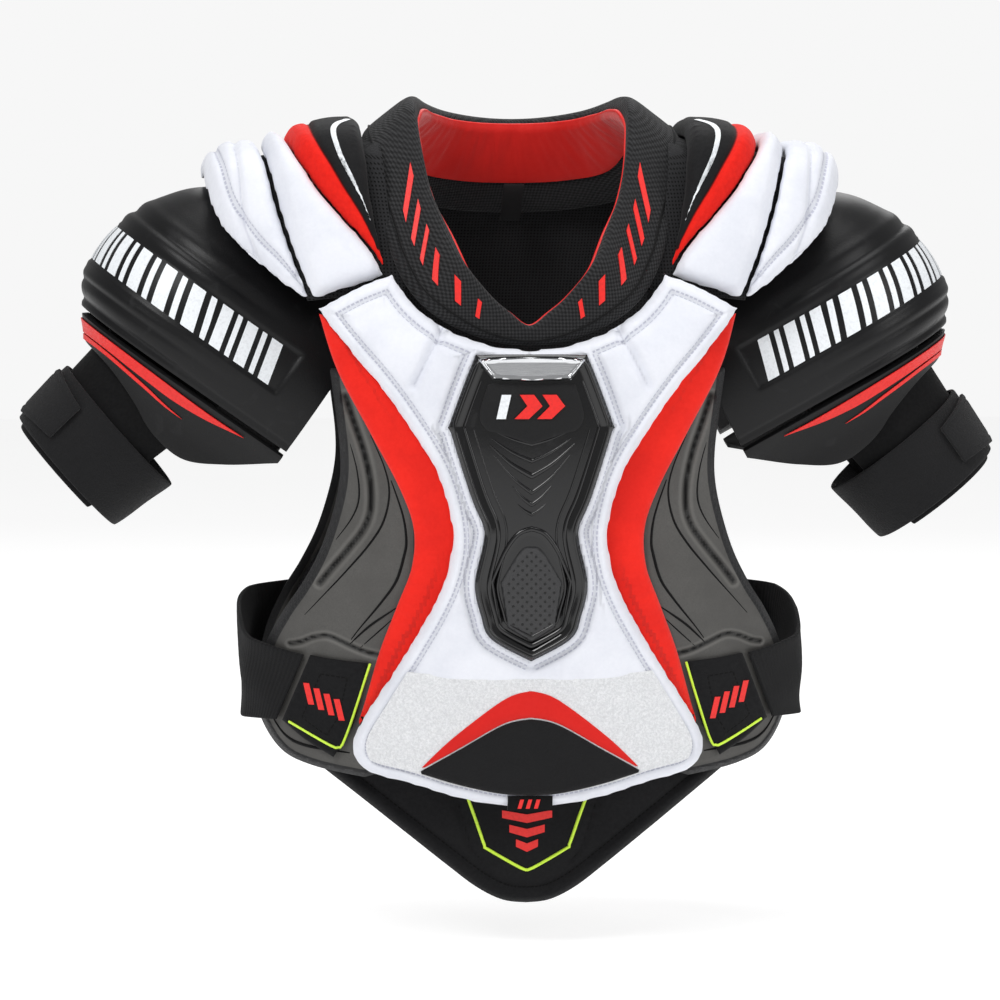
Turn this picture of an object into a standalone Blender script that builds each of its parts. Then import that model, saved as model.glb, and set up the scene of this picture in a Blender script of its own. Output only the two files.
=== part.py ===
"""Hockey shoulder pads: padded front and back over a liner, a stand-up collar, shoulder arches
with lifting epaulettes, hinged shoulder caps with bicep cuffs, side straps and a belly pad.

Metres, +Z up, the wearer faces -Y and the wearer's left is +X. The origin is on the wearer's
centre line at the base of the neck, level with the tops of the shoulders.
"""

import math

import bmesh
import bpy
from mathutils import Vector

# ---- Driving dimensions -------------------------------------------------------------------
# The flat pattern is drawn for a chest of PATTERN_*; it is graded to the sizes below.
PATTERN_CHEST_WIDTH = 0.378
PATTERN_CHEST_DEPTH = 0.240
PATTERN_TRUNK_LENGTH = 0.485
SHOULDER_DROP = 0.130  # the shoulders keep their height; the trunk is graded below this
CHEST_WIDTH = 0.378
CHEST_DEPTH = 0.240
TRUNK_LENGTH = 0.485

# Layers, from the wearer's body outwards.
LAYER_GAP = 0.0015
LINER = 0.003
RIB_FOAM = 0.009
RED_CLOTH = 0.003
CHEST_PAD = 0.014
SPINE_PAD = 0.013
ARCH_PAD = 0.013
EPAULETTE_PAD = 0.010
HEM_PATCH = 0.0012
PLATE_WALL = 0.0045
BADGE_WALL = 0.004
BADGE_LAND_HEIGHT = -0.118
EMBLEM_WALL = 0.002
BELLY_PAD = 0.009
BELLY_GAP = 0.004
SEAM_GAP = 0.002

COLLAR_THICKNESS = 0.017
COLLAR_SPLIT_HEIGHT = -0.028
COLLAR_SPLIT_GAP = 0.004
COLLAR_LINING = 0.003
COLLAR_LINING_GAP = 0.0045
COLLAR_LINING_DROP = 0.60
COLLAR_LINING_START = 0.032

STRAP_THICKNESS = 0.003
STRAP_GAP = 0.0025
STRAP_TUCK = 0.012
STRAP_BACK_REACH = 0.138
TAB_THICKNESS = 0.0025

SHOULDER_JOINT = (0.187, 0.0, -0.054)
CAP_DEPTH = 0.085
CAP_SHELL = 0.0035
CAP_FOAM = 0.009
CAP_LIP = 0.004
ARM_ANGLE = {"left": 61.0, "right": 55.0}
CUFF_BEND = {"left": 10.0, "right": 14.0}

CUFF_RADIUS = 0.0555
CUFF_DEPTH = 0.0510
CUFF_TAPER = 0.81
CUFF_PAD = 0.006
CUFF_LENGTH = 0.100
CUFF_START = -0.018
CUFF_PIVOT = (0.000, 0.096)
CUFF_OPENING = 50.0
CUFF_STRAP_FROM = 0.047
CUFF_STRAP_WIDTH = 0.049
CUFF_STRAP_WALL = 0.003
CUFF_TAB_WALL = 0.0025
CUFF_TAB_SPAN = (-62.0, -12.0)
CUFF_TAB_INSET = (0.010, 0.004)

HANG_LOOP_WIDTH = 0.014
HANG_LOOP_DROP = 0.026
HANG_LOOP_STAND = 0.011
HANG_LOOP_WALL = 0.0018
HANG_LOOP_PLACE = (0.084, 0.004)

EPAULETTE_HINGE = (0.157, 0.030)
FRONT_HINGE = (-0.116, -0.066)

PANEL_CELL = 0.030
LINER_CELL = 0.040
PLATE_CELL = 0.024
ARCH_CELL = (0.030, 22.0)

# ---- Body form ----------------------------------------------------------------------------
# The shape that the panels are laid on, as stacked rounded sections:
# height, share of the half chest width, share of the half chest depth, squareness.
BODY_FORM = [
    (0.075, 0.345, 0.490, 2.2),
    (0.045, 0.400, 0.560, 2.4),
    (0.036, 0.600, 0.650, 2.6),
    (0.029, 0.790, 0.720, 2.9),
    (0.022, 1.000, 0.785, 3.1),
    (0.015, 1.100, 0.830, 3.2),
    (0.005, 1.175, 0.870, 3.2),
    (-0.012, 1.205, 0.905, 3.2),
    (-0.035, 1.220, 0.945, 3.2),
    (-0.070, 1.200, 0.992, 3.1),
    (-0.120, 1.111, 1.017, 2.9),
    (-0.200, 1.048, 1.025, 2.6),
    (-0.300, 1.000, 1.000, 2.4),
    (-0.400, 0.968, 0.950, 2.4),
    (-0.520, 0.940, 0.875, 2.4),
]
ARCH_CENTRE_HEIGHT = -0.090
FORM_EDGE_SHARE = 0.985
FRONT, BACK = -1, 1
SIDES = {"left": 1, "right": -1}


def grade_x(x):
    return x * CHEST_WIDTH / PATTERN_CHEST_WIDTH


def grade_y(y):
    return y * CHEST_DEPTH / PATTERN_CHEST_DEPTH


def grade_z(z):
    """Heights below the shoulders follow the trunk's length; the shoulders above don't."""
    below = -SHOULDER_DROP - z
    stretch = (TRUNK_LENGTH - SHOULDER_DROP) / (PATTERN_TRUNK_LENGTH - SHOULDER_DROP)
    return -SHOULDER_DROP - below * stretch if below > 0 else z


def graded(points):
    """Pattern points (x, z, optional corner mark) at the real size."""
    return [(grade_x(p[0]), grade_z(p[1]), *p[2:]) for p in points]


def form_at(height):
    """Half width, half depth and squareness of the body form at a height."""
    rows = [(grade_z(r[0]), *r[1:]) for r in BODY_FORM]
    if height >= rows[0][0]:
        found = rows[0][1:]
    elif height <= rows[-1][0]:
        found = rows[-1][1:]
    else:
        i = next(k for k in range(len(rows) - 1) if rows[k + 1][0] <= height)
        z0, z1 = rows[i][0], rows[i + 1][0]
        t = (z0 - height) / (z0 - z1)
        before, after = rows[max(i - 1, 0)], rows[min(i + 2, len(rows) - 1)]
        found = []
        for k in (1, 2, 3):
            slope_0 = (rows[i + 1][k] - before[k]) / (rows[i + 1][0] - before[0]) * (z1 - z0)
            slope_1 = (after[k] - rows[i][k]) / (after[0] - rows[i][0]) * (z1 - z0)
            a, b = rows[i][k], rows[i + 1][k]
            found.append(
                a * (2 * t**3 - 3 * t**2 + 1)
                + slope_0 * (t**3 - 2 * t**2 + t)
                + b * (3 * t**2 - 2 * t**3)
                + slope_1 * (t**3 - t**2)
            )
    width, depth, squareness = found
    return width * CHEST_WIDTH / 2, depth * CHEST_DEPTH / 2, squareness


def form_depth(x, z, offset=0.0):
    """Distance of the form's skin, grown by offset, in front of or behind the wearer's centre."""
    half_width, half_depth, power = form_at(z - offset if z > 0 else z)
    share = min(abs(x) / (half_width + offset), FORM_EDGE_SHARE)
    return (half_depth + offset) * (1 - share**power) ** (1 / power)


def arch_point(x, angle, offset):
    """Where the form's skin, grown by offset, is met at an angle over the shoulder:
    0 is straight forward, 90 straight up and 180 straight back."""
    forward = -math.cos(math.radians(angle))
    upward = math.sin(math.radians(angle))
    centre = grade_z(ARCH_CENTRE_HEIGHT)
    near, far = 0.0, 0.30
    for _ in range(40):
        reach = (near + far) / 2
        y, z = reach * forward, centre + reach * upward
        half_width, half_depth, power = form_at(z - offset)
        inside = (abs(x) / (half_width + offset)) ** power + (
            abs(y) / (half_depth + offset)
        ) ** power
        if inside < 1:
            near = reach
        else:
            far = reach
    return Vector((x, near * forward, centre + near * upward))


# ---- Curves and outlines --------------------------------------------------------------------
def smooth_line(points, step):
    """A smooth line through points, with a vertex about every step. A point whose last
    value is "corner" keeps its corner."""
    places = [Vector(p[:2]) for p in points]
    corners = [p[-1] == "corner" for p in points]
    line = [places[0]]
    for i in range(len(places) - 1):
        a, b = places[i], places[i + 1]
        before = a if i == 0 or corners[i] else places[i - 1]
        after = b if i + 2 >= len(places) or corners[i + 1] else places[i + 2]
        count = max(1, round((b - a).length / step))
        for k in range(1, count + 1):
            t = k / count
            bend = 0.5 * ((b - before) * (t**3 - 2 * t**2 + t) + (after - a) * (t**3 - t**2))
            line.append(a.lerp(b, 3 * t**2 - 2 * t**3) + bend)
    return line


def half_to_whole(half):
    """A line from the top centre to the bottom centre, closed by its mirror image."""
    mirror = [Vector((-p.x, p.y)) for p in reversed(half) if p.x > 1e-6]
    return half + mirror


# ---- Meshes -----------------------------------------------------------------------------------
def new_object(name, mesh_data, finish, shade=True):
    mesh = bpy.data.meshes.new(name)
    mesh_data.to_mesh(mesh)
    mesh_data.free()
    if shade:
        mesh.shade_smooth()
        mesh.set_sharp_from_angle(angle=math.radians(40))
    obj = bpy.data.objects.new(name, mesh)
    bpy.context.scene.collection.objects.link(obj)
    mesh.materials.append(finish)
    return obj


def flat_grid(outline, cell_x, cell_z):
    """The outline as one flat face in X and Z, cut into cells so that it can be curved."""
    sheet = bmesh.new()
    sheet.faces.new([sheet.verts.new((p.x, 0, p.y)) for p in outline])
    for axis, cell in ((0, cell_x), (2, cell_z)):
        normal = Vector((axis == 0, 0, axis == 2))
        low = min(v.co[axis] for v in sheet.verts)
        high = max(v.co[axis] for v in sheet.verts)
        # The cuts start half a cell off centre, so that none runs along a symmetric seam.
        for k in range(math.floor(low / cell), math.ceil(high / cell) + 1):
            place = (k + 0.5) * cell
            if low + 0.1 * cell < place < high - 0.1 * cell:
                bmesh.ops.bisect_plane(
                    sheet,
                    geom=[*sheet.verts, *sheet.edges, *sheet.faces],
                    plane_co=normal * place,
                    plane_no=normal,
                )
    bmesh.ops.triangulate(sheet, faces=sheet.faces)
    return sheet


def thick_sheet(sheet, place_inner, place_outer):
    """Closes a flat grid into a solid between two curved skins."""
    inner = list(sheet.verts)
    made = bmesh.ops.extrude_face_region(sheet, geom=sheet.faces[:], use_keep_orig=True)
    outer = [v for v in made["geom"] if isinstance(v, bmesh.types.BMVert)]
    for skin, place in ((inner, place_inner), (outer, place_outer)):
        for vert in skin:
            vert.co = place(vert.co.x, vert.co.z)
    bmesh.ops.recalc_face_normals(sheet, faces=sheet.faces)
    return sheet


def draped_panel(name, outline, face, layer, finish, cell=PANEL_CELL):
    """A panel laid on the front or back of the form. layer gives, at (x, z), how far its
    inner and outer skins stand off the form."""

    def skin(which):
        def place(x, z):
            return Vector((x, face * form_depth(x, z, layer(x, z)[which]), z))

        return place

    solid = thick_sheet(flat_grid(outline, cell, cell), skin(0), skin(1))
    return new_object(name, solid, finish)


def draped_arch(name, outline, sign, inner, outer, finish):
    """A pad laid over a shoulder. The outline is in (x, angle over the shoulder)."""

    def skin(offset):
        return lambda x, angle: arch_point(x, angle, offset)

    solid = thick_sheet(flat_grid(outline, *ARCH_CELL), skin(inner), skin(outer))
    if sign < 0:
        bmesh.ops.scale(solid, vec=(-1, 1, 1), verts=solid.verts)
        bmesh.ops.reverse_faces(solid, faces=solid.faces)
    return new_object(name, solid, finish)


def loft(name, sections, finish, closed_path=False):
    """A solid through closed sections that have the same number of points."""
    solid = bmesh.new()
    rings = [[solid.verts.new(p) for p in section] for section in sections]
    count = len(rings[0])
    pairs = list(zip(rings, rings[1:]))
    if closed_path:
        pairs.append((rings[-1], rings[0]))
    for a, b in pairs:
        for k in range(count):
            n = (k + 1) % count
            solid.faces.new((a[k], a[n], b[n], b[k]))
    if not closed_path:
        solid.faces.new(rings[0])
        solid.faces.new(rings[-1])
    bmesh.ops.recalc_face_normals(solid, faces=solid.faces)
    return new_object(name, solid, finish)


def open_sheet(name, rows, finish, thickness, sink=0.0):
    """A curved wall: rows of points, sunk below their surface and thickened inwards."""
    sheet = bmesh.new()
    grid = [[sheet.verts.new(p) for p in row] for row in rows]
    for a, b in zip(grid, grid[1:]):
        for k in range(len(a) - 1):
            sheet.faces.new((a[k], a[k + 1], b[k + 1], b[k]))
    sheet.normal_update()
    shifts = [v.normal * v.calc_shell_factor() * sink for v in sheet.verts]
    for vert, shift in zip(sheet.verts, shifts):
        vert.co -= shift
    obj = new_object(name, sheet, finish)
    wall = obj.modifiers.new("Wall", "SOLIDIFY")
    wall.thickness = thickness
    wall.offset = -1
    wall.use_even_offset = True
    return obj


def material(name, colour, roughness, metallic=0.0):
    made = bpy.data.materials.new(name)
    made.use_nodes = True
    shader = made.node_tree.nodes["Principled BSDF"]
    shader.inputs["Base Color"].default_value = (*colour, 1)
    shader.inputs["Roughness"].default_value = roughness
    shader.inputs["Metallic"].default_value = metallic
    return made


def make_materials():
    return {
        "white_fabric": material("white_fabric", (0.84, 0.85, 0.89), 0.75),
        "red_fabric": material("red_fabric", (0.86, 0.05, 0.03), 0.7),
        "black_knit": material("black_knit", (0.030, 0.030, 0.033), 0.9),
        "black_fabric": material("black_fabric", (0.020, 0.020, 0.022), 0.85),
        "black_elastic": material("black_elastic", (0.016, 0.016, 0.018), 0.95),
        "grey_foam": material("grey_foam", (0.115, 0.112, 0.106), 0.55),
        "cap_plastic": material("cap_plastic", (0.020, 0.020, 0.022), 0.42),
        "gloss_plastic": material("gloss_plastic", (0.012, 0.012, 0.014), 0.15),
        "chrome": material("chrome", (0.75, 0.76, 0.78), 0.2, 1.0),
        "mesh_lining": material("mesh_lining", (0.012, 0.012, 0.013), 0.95),
    }


# ---- Layers -----------------------------------------------------------------------------------
def step_up(z, start=-0.070, end=-0.112):
    """0 at the shoulders, 1 down the chest, where the rib foam fills in behind the pads."""
    t = (grade_z(start) - z) / (grade_z(start) - grade_z(end))
    t = min(max(t, 0.0), 1.0)
    return t * t * (3 - 2 * t)


def liner_layer(x, z):
    return 0.0, LINER


def rib_layer(x, z):
    inner = LINER + LAYER_GAP
    return inner, inner + RIB_FOAM


def red_layer(x, z):
    inner = LINER + LAYER_GAP + (RIB_FOAM + LAYER_GAP) * step_up(z)
    return inner, inner + RED_CLOTH


def chest_layer(x, z):
    inner = red_layer(x, z)[1] + LAYER_GAP
    return inner, inner + CHEST_PAD


def on_chest(thickness, lift=0.0):
    def layer(x, z):
        inner = chest_layer(x, z)[1] + LAYER_GAP + lift
        return inner, inner + thickness

    return layer


def core_layer(x, z):
    return LINER + LAYER_GAP, red_layer(x, z)[0] - LAYER_GAP


def belly_layer(x, z):
    return -BELLY_GAP - BELLY_PAD, -BELLY_GAP


def spine_layer(x, z):
    inner = LINER + LAYER_GAP + (RIB_FOAM + LAYER_GAP) * step_up(z)
    return inner, inner + SPINE_PAD


def on_spine(thickness):
    def layer(x, z):
        inner = spine_layer(x, z)[1] + LAYER_GAP
        return inner, inner + thickness

    return layer


# ---- Pattern pieces: (across from the centre line, height), top to bottom --------------------
CHEST_OUTLINE = [
    (0.000, -0.1065, "corner"),
    (0.022, -0.1045),
    (0.044, -0.0975),
    (0.064, -0.0870),
    (0.080, -0.0730),
    (0.091, -0.0565, "corner"),
    (0.116, -0.0660),
    (0.142, -0.0800, "corner"),
    (0.1265, -0.1000),
    (0.100, -0.132),
    (0.080, -0.160),
    (0.062, -0.191),
    (0.053, -0.225),
    (0.055, -0.252),
    (0.066, -0.279),
    (0.0877, -0.3164),
    (0.106, -0.345),
    (0.1175, -0.366),
    (0.1175, -0.382),
    (0.107, -0.392),
    (0.083, -0.398),
    (0.055, -0.4065),
    (0.022, -0.4135),
    (0.000, -0.4145),
]
RED_OUTER = [
    (0.1400, -0.0835, "corner"),
    (0.128, -0.121),
    (0.106, -0.163),
    (0.087, -0.199),
    (0.0775, -0.226),
    (0.0785, -0.252),
    (0.088, -0.278),
    (0.100, -0.310),
    (0.110, -0.345),
    (0.1155, -0.362, "corner"),
]
RED_INNER = [
    (0.1155, -0.362, "corner"),
    (0.085, -0.325),
    (0.056, -0.280),
    (0.043, -0.252),
    (0.041, -0.225),
    (0.050, -0.190),
    (0.070, -0.155),
    (0.095, -0.120),
    (0.120, -0.088, "corner"),
    (0.1400, -0.0835, "corner"),
]
CORE_EDGE_MARGIN = 0.003
CORE_TOP = -0.115
CORE_BOTTOM = -0.383
RIB_OUTER = [
    (0.133, -0.120, "corner"),
    (0.1290, -0.150),
    (0.1262, -0.175),
    (0.1265, -0.195),
    (0.131, -0.217),
    (0.140, -0.244),
    (0.152, -0.267),
    (0.165, -0.287),
    (0.177, -0.312),
    (0.1825, -0.342),
    (0.180, -0.362),
    (0.166, -0.382),
    (0.1445, -0.391),
    (0.110, -0.397, "corner"),
]
RIB_INNER = [
    (0.110, -0.397, "corner"),
    (0.072, -0.385, "corner"),
    (0.072, -0.120, "corner"),
    (0.133, -0.120, "corner"),
]
FRONT_LINER = [
    (0.000, -0.1085, "corner"),
    (0.024, -0.1060),
    (0.048, -0.0980),
    (0.068, -0.0890),
    (0.084, -0.0780, "corner"),
    (0.112, -0.0860),
    (0.118, -0.115),
    (0.116, -0.160),
    (0.118, -0.200),
    (0.130, -0.244),
    (0.156, -0.290),
    (0.166, -0.340),
    (0.158, -0.372, "corner"),
    (0.110, -0.386),
    (0.055, -0.398),
    (0.000, -0.404),
]
PLATE_OUTLINE = [
    (0.000, -0.1095, "corner"),
    (0.0330, -0.1100),
    (0.0385, -0.1140),
    (0.0540, -0.1550),
    (0.0535, -0.1610),
    (0.0400, -0.2040),
    (0.0318, -0.2240),
    (0.0322, -0.2360),
    (0.0375, -0.2620),
    (0.0335, -0.2830),
    (0.0265, -0.2990),
    (0.0000, -0.3140, "corner"),
]
BADGE_OUTLINE = [
    (0.000, -0.1115, "corner"),
    (0.0335, -0.1125, "corner"),
    (0.0245, -0.1235, "corner"),
    (0.000, -0.1260, "corner"),
]
EMBLEM_OUTLINE = [
    (0.000, -0.1370, "corner"),
    (0.0230, -0.1370, "corner"),
    (0.0120, -0.1490, "corner"),
    (0.000, -0.1610, "corner"),
]
INSERT_OUTLINE = [
    (0.000, -0.2400, "corner"),
    (0.0205, -0.2610, "corner"),
    (0.0160, -0.2910, "corner"),
    (0.000, -0.3010, "corner"),
]
CHEVRON_OUTLINE = [
    (0.000, -0.3340, "corner"),
    (0.018, -0.3400),
    (0.052, -0.3660),
    (0.0745, -0.3880, "corner"),
    (0.048, -0.3730),
    (0.018, -0.3560),
    (0.000, -0.3520, "corner"),
]
LOOP_PATCH_OUTLINE = [
    (0.000, -0.3530, "corner"),
    (0.018, -0.3570),
    (0.048, -0.3740),
    (0.0740, -0.3900, "corner"),
    (0.048, -0.3965),
    (0.020, -0.4020),
    (0.000, -0.4035, "corner"),
]
TAG_OUTLINE = [(0.000, -0.4060, "corner"), (0.0150, -0.4060, "corner"),
               (0.0150, -0.4150, "corner"), (0.000, -0.4155, "corner")]
BELLY_OUTLINE = [
    (0.000, -0.335, "corner"),
    (0.100, -0.335, "corner"),
    (0.136, -0.372, "corner"),
    (0.1400, -0.3930, "corner"),
    (0.1127, -0.4130),
    (0.082, -0.4367),
    (0.055, -0.4580),
    (0.034, -0.4740),
    (0.016, -0.4830),
    (0.000, -0.4850),
]
BELLY_HOOK_OUTLINE = [(0.000, -0.345, "corner"), (0.080, -0.345, "corner"),
                      (0.080, -0.375, "corner"), (0.000, -0.375, "corner")]
SPINE_OUTLINE = [
    (0.000, -0.020, "corner"),
    (0.060, -0.022),
    (0.084, -0.040),
    (0.0895, -0.0590, "corner"),
    (0.116, -0.0670),
    (0.142, -0.0805, "corner"),
    (0.120, -0.125),
    (0.086, -0.180),
    (0.072, -0.235),
    (0.078, -0.300),
    (0.094, -0.350),
    (0.098, -0.372),
    (0.084, -0.388),
    (0.045, -0.400),
    (0.000, -0.404),
]
SPINE_GUARD_OUTLINE = [
    (0.000, -0.048, "corner"),
    (0.030, -0.058),
    (0.040, -0.090),
    (0.030, -0.150),
    (0.033, -0.210),
    (0.027, -0.280),
    (0.018, -0.330),
    (0.000, -0.345, "corner"),
]
BACK_LINER = [
    (0.000, -0.020, "corner"),
    (0.050, -0.021),
    (0.082, -0.050, "corner"),
    (0.088, -0.080),
    (0.112, -0.0900),
    (0.118, -0.115),
    (0.116, -0.160),
    (0.118, -0.200),
    (0.130, -0.244),
    (0.156, -0.290),
    (0.166, -0.340),
    (0.158, -0.372, "corner"),
    (0.110, -0.384),
    (0.055, -0.392),
    (0.000, -0.394),
]
TAB_OUTLINE = [
    (0.1080, -0.3180, "corner"),
    (0.1465, -0.3140, "corner"),
    (0.1655, -0.3600, "corner"),
    (0.1310, -0.3830, "corner"),
    (0.1164, -0.3560, "corner"),
]
# Over the shoulder: (across, angle). These are the front halves; the back is their mirror.
ARCH_BLACK = [(0.0945, 15.0, "corner"), (0.104, 26.0), (0.130, 40.0), (0.150, 56.0), (0.164, 90.0)]
ARCH_NECK = [(0.111, 90.0), (0.110, 62.0), (0.106, 40.0), (0.0945, 15.0, "corner")]
ARCH_SEAM = [(0.144, 8.0, "corner"), (0.159, 27.0), (0.171, 46.0), (0.178, 63.0), (0.1795, 90.0)]
EPAULETTE_EDGE = [(0.146, 7.5, "corner"), (0.160, 12.0), (0.175, 19.0), (0.190, 27.0),
                  (0.206, 39.0), (0.216, 56.0), (0.2200, 75.0), (0.2210, 90.0)]


# ---- Trunk ------------------------------------------------------------------------------------
def symmetric(points, step=0.02):
    return half_to_whole(smooth_line(graded(points), step))


def one_side(first, second, sign, step=0.022):
    """An outline on one side of the centre line, from two lines that meet end to end."""
    line = smooth_line(graded(first), step)[:-1] + smooth_line(graded(second), step)[:-1]
    return [Vector((sign * p.x, p.y)) for p in line]


def core_outline():
    """The chest core fills the space between the two rib foams."""
    edge = grade_x(RIB_INNER[1][0]) - CORE_EDGE_MARGIN
    top, bottom = grade_z(CORE_TOP), grade_z(CORE_BOTTOM)
    return [Vector(p) for p in ((-edge, top), (edge, top), (edge, bottom), (-edge, bottom))]


def make_front(look):
    draped_panel("chest_panel", symmetric(CHEST_OUTLINE), FRONT, chest_layer,
                 look["white_fabric"])
    draped_panel("front_liner", symmetric(FRONT_LINER, 0.03), FRONT, liner_layer,
                 look["mesh_lining"], cell=LINER_CELL)
    draped_panel("chest_core_foam", core_outline(), FRONT, core_layer, look["grey_foam"],
                 cell=LINER_CELL)
    for side, sign in SIDES.items():
        draped_panel(f"red_side_panel_{side}", one_side(RED_OUTER, RED_INNER, sign), FRONT,
                     red_layer, look["red_fabric"])
        draped_panel(f"rib_panel_{side}", one_side(RIB_OUTER, RIB_INNER, sign), FRONT,
                     rib_layer, look["grey_foam"])


def make_sternum(look):
    draped_panel("sternum_plate", symmetric(PLATE_OUTLINE), FRONT, on_chest(PLATE_WALL),
                 look["gloss_plastic"], cell=PLATE_CELL)
    draped_panel("sternum_insert", symmetric(INSERT_OUTLINE), FRONT,
                 on_chest(EMBLEM_WALL, PLATE_WALL + LAYER_GAP), look["black_fabric"])
    draped_panel("sternum_emblem", symmetric(EMBLEM_OUTLINE), FRONT,
                 on_chest(EMBLEM_WALL, PLATE_WALL + LAYER_GAP), look["red_fabric"])
    make_badge(look)


def badge_land_depth():
    """How far forward the badge's flat land stands, clear of the curved plate behind it."""
    centre = grade_z(BADGE_LAND_HEIGHT)
    return form_depth(0, centre, on_chest(PLATE_WALL)(0, centre)[1]) + LAYER_GAP + BADGE_WALL


def make_badge(look):
    """The badge has a flat land, which a name plate can be stuck to."""
    land = badge_land_depth()

    def back(x, z):
        return Vector((x, -form_depth(x, z, on_chest(PLATE_WALL)(x, z)[1]) - LAYER_GAP, z))

    def face(x, z):
        return Vector((x, -land, z))

    outline = symmetric(BADGE_OUTLINE)
    solid = thick_sheet(flat_grid(outline, 0.02, 0.02), back, face)
    return new_object("sternum_badge", solid, look["chrome"])


def make_hem(look):
    draped_panel("hem_chevron", symmetric(CHEVRON_OUTLINE), FRONT, on_chest(HEM_PATCH),
                 look["red_fabric"])
    draped_panel("belly_loop_patch", symmetric(LOOP_PATCH_OUTLINE), FRONT, on_chest(HEM_PATCH),
                 look["black_elastic"])
    draped_panel("size_tag", symmetric(TAG_OUTLINE), FRONT, on_chest(HEM_PATCH),
                 look["black_fabric"])
    draped_panel("belly_pad", symmetric(BELLY_OUTLINE), FRONT, belly_layer,
                 look["black_fabric"])

    def hook(x, z):
        inner = belly_layer(x, z)[0] - LAYER_GAP
        return inner - HEM_PATCH, inner

    draped_panel("belly_hook_strip", symmetric(BELLY_HOOK_OUTLINE), FRONT, hook,
                 look["black_elastic"])


def make_back(look):
    draped_panel("back_liner", symmetric(BACK_LINER, 0.03), BACK, liner_layer,
                 look["mesh_lining"], cell=LINER_CELL)
    draped_panel("spine_panel", symmetric(SPINE_OUTLINE), BACK, spine_layer,
                 look["white_fabric"])
    draped_panel("spine_guard", symmetric(SPINE_GUARD_OUTLINE), BACK, on_spine(PLATE_WALL),
                 look["cap_plastic"])
    for side, sign in SIDES.items():
        draped_panel(f"back_rib_panel_{side}", one_side(RIB_OUTER, RIB_INNER, sign), BACK,
                     rib_layer, look["grey_foam"])


def ring_outline(outer_edge, inner_edge):
    """Outline of an arch: up the outer edge from front to back, and back along the inner one."""
    unit = 0.001

    def line(points):
        half = smooth_line([(grade_x(p[0]), p[1] * unit, *p[2:]) for p in points], 0.02)
        back = [Vector((p.x, 180 * unit - p.y)) for p in reversed(half[:-1])]
        return [Vector((p.x, p.y / unit)) for p in half + back]

    outer, inner = line(outer_edge), line(inner_edge)
    meets = (outer[0] - inner[0]).length < 1e-6
    return outer + (inner[-2:0:-1] if meets else inner[::-1])


def shifted(points, across):
    return [(p[0] + across, *p[1:]) for p in points]


def make_arches(look):
    """The black pad beside the collar, the white pad outside it, and the lifting epaulette."""
    black_inner = list(reversed(ARCH_NECK))
    white_inner = shifted(ARCH_BLACK, SEAM_GAP)
    epaulette_inner = shifted(ARCH_SEAM, SEAM_GAP)
    for side, sign in SIDES.items():
        draped_arch(f"yoke_pad_{side}", ring_outline(ARCH_BLACK, black_inner), sign, 0.0,
                    ARCH_PAD, look["black_knit"])
        draped_arch(f"shoulder_pad_{side}", ring_outline(ARCH_SEAM, white_inner), sign, 0.0,
                    ARCH_PAD, look["white_fabric"])
        draped_arch(f"epaulette_{side}", ring_outline(EPAULETTE_EDGE, epaulette_inner), sign,
                    0.0, EPAULETTE_PAD, look["white_fabric"])


# ---- Collar -------------------------------------------------------------------------------------
# The collar's two edges from the front centre round to the back centre. The first points lie
# on the chest, so they give only (x, z); the others stand clear and give (x, y, z).
COLLAR_TOP_EDGE = [
    (0.000, -0.091), (0.013, -0.082), (0.026, -0.0705), (0.044, -0.0475),
    (0.056, -0.108, -0.021), (0.0645, -0.090, 0.0015), (0.0705, -0.062, 0.036),
    (0.0715, -0.030, 0.057), (0.068, 0.005, 0.061), (0.060, 0.040, 0.058),
    (0.045, 0.065, 0.054), (0.023, 0.081, 0.051), (0.000, 0.086, 0.050),
]
COLLAR_LOW_EDGE = [
    (0.000, -0.1045), (0.022, -0.1025), (0.043, -0.0955), (0.0625, -0.085),
    (0.0775, -0.122, -0.071), (0.0885, -0.114, -0.052), (0.0985, -0.100, -0.022),
    (0.1050, -0.075, 0.012), (0.1070, -0.030, 0.030), (0.1030, 0.030, 0.026),
    (0.088, 0.076, -0.002), (0.048, 0.100, -0.013), (0.000, 0.106, -0.016),
]


def collar_edge(points):
    """An edge of the collar in space, with its first points laid on the chest."""
    placed = []
    for p in points:
        x, z = grade_x(p[0]), grade_z(p[-1])
        if len(p) == 2:
            standoff = LINER + LAYER_GAP + COLLAR_THICKNESS / 2
            placed.append(Vector((x, -form_depth(x, z, standoff), z)))
        else:
            placed.append(Vector((x, grade_y(p[1]), z)))
    return placed


def mirror_x(p):
    return Vector((-p.x, p.y, p.z))


def collar_stations():
    """Pairs of edge points all the way round, starting and ending at the front centre."""
    top, low = collar_edge(COLLAR_TOP_EDGE), collar_edge(COLLAR_LOW_EDGE)
    half = list(zip(top, low))
    other = [(mirror_x(t), mirror_x(b)) for t, b in reversed(half[1:-1])]
    return half + other


def collar_section(stations, i, inner, outer):
    """A rounded pad section between the two edges, from inner to outer through its wall."""
    top, low = stations[i]
    ahead = stations[(i + 1) % len(stations)]
    behind = stations[i - 1]
    along = (ahead[0] + ahead[1] - behind[0] - behind[1]).normalized()
    across = low - top
    normal = across.cross(along).normalized()
    if normal.dot(Vector((top.x, top.y, 0.02))) < 0:
        normal = -normal
    rounding = 0.16
    shape = ((0.0, inner + (outer - inner) * 0.25), (0.0, inner + (outer - inner) * 0.75),
             (rounding, outer), (0.5, outer * 1.08), (1 - rounding, outer),
             (1.0, inner + (outer - inner) * 0.7), (1.0, inner + (outer - inner) * 0.3),
             (1 - rounding, inner), (rounding, inner))
    return [top + across * share + normal * lift for share, lift in shape]


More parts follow.
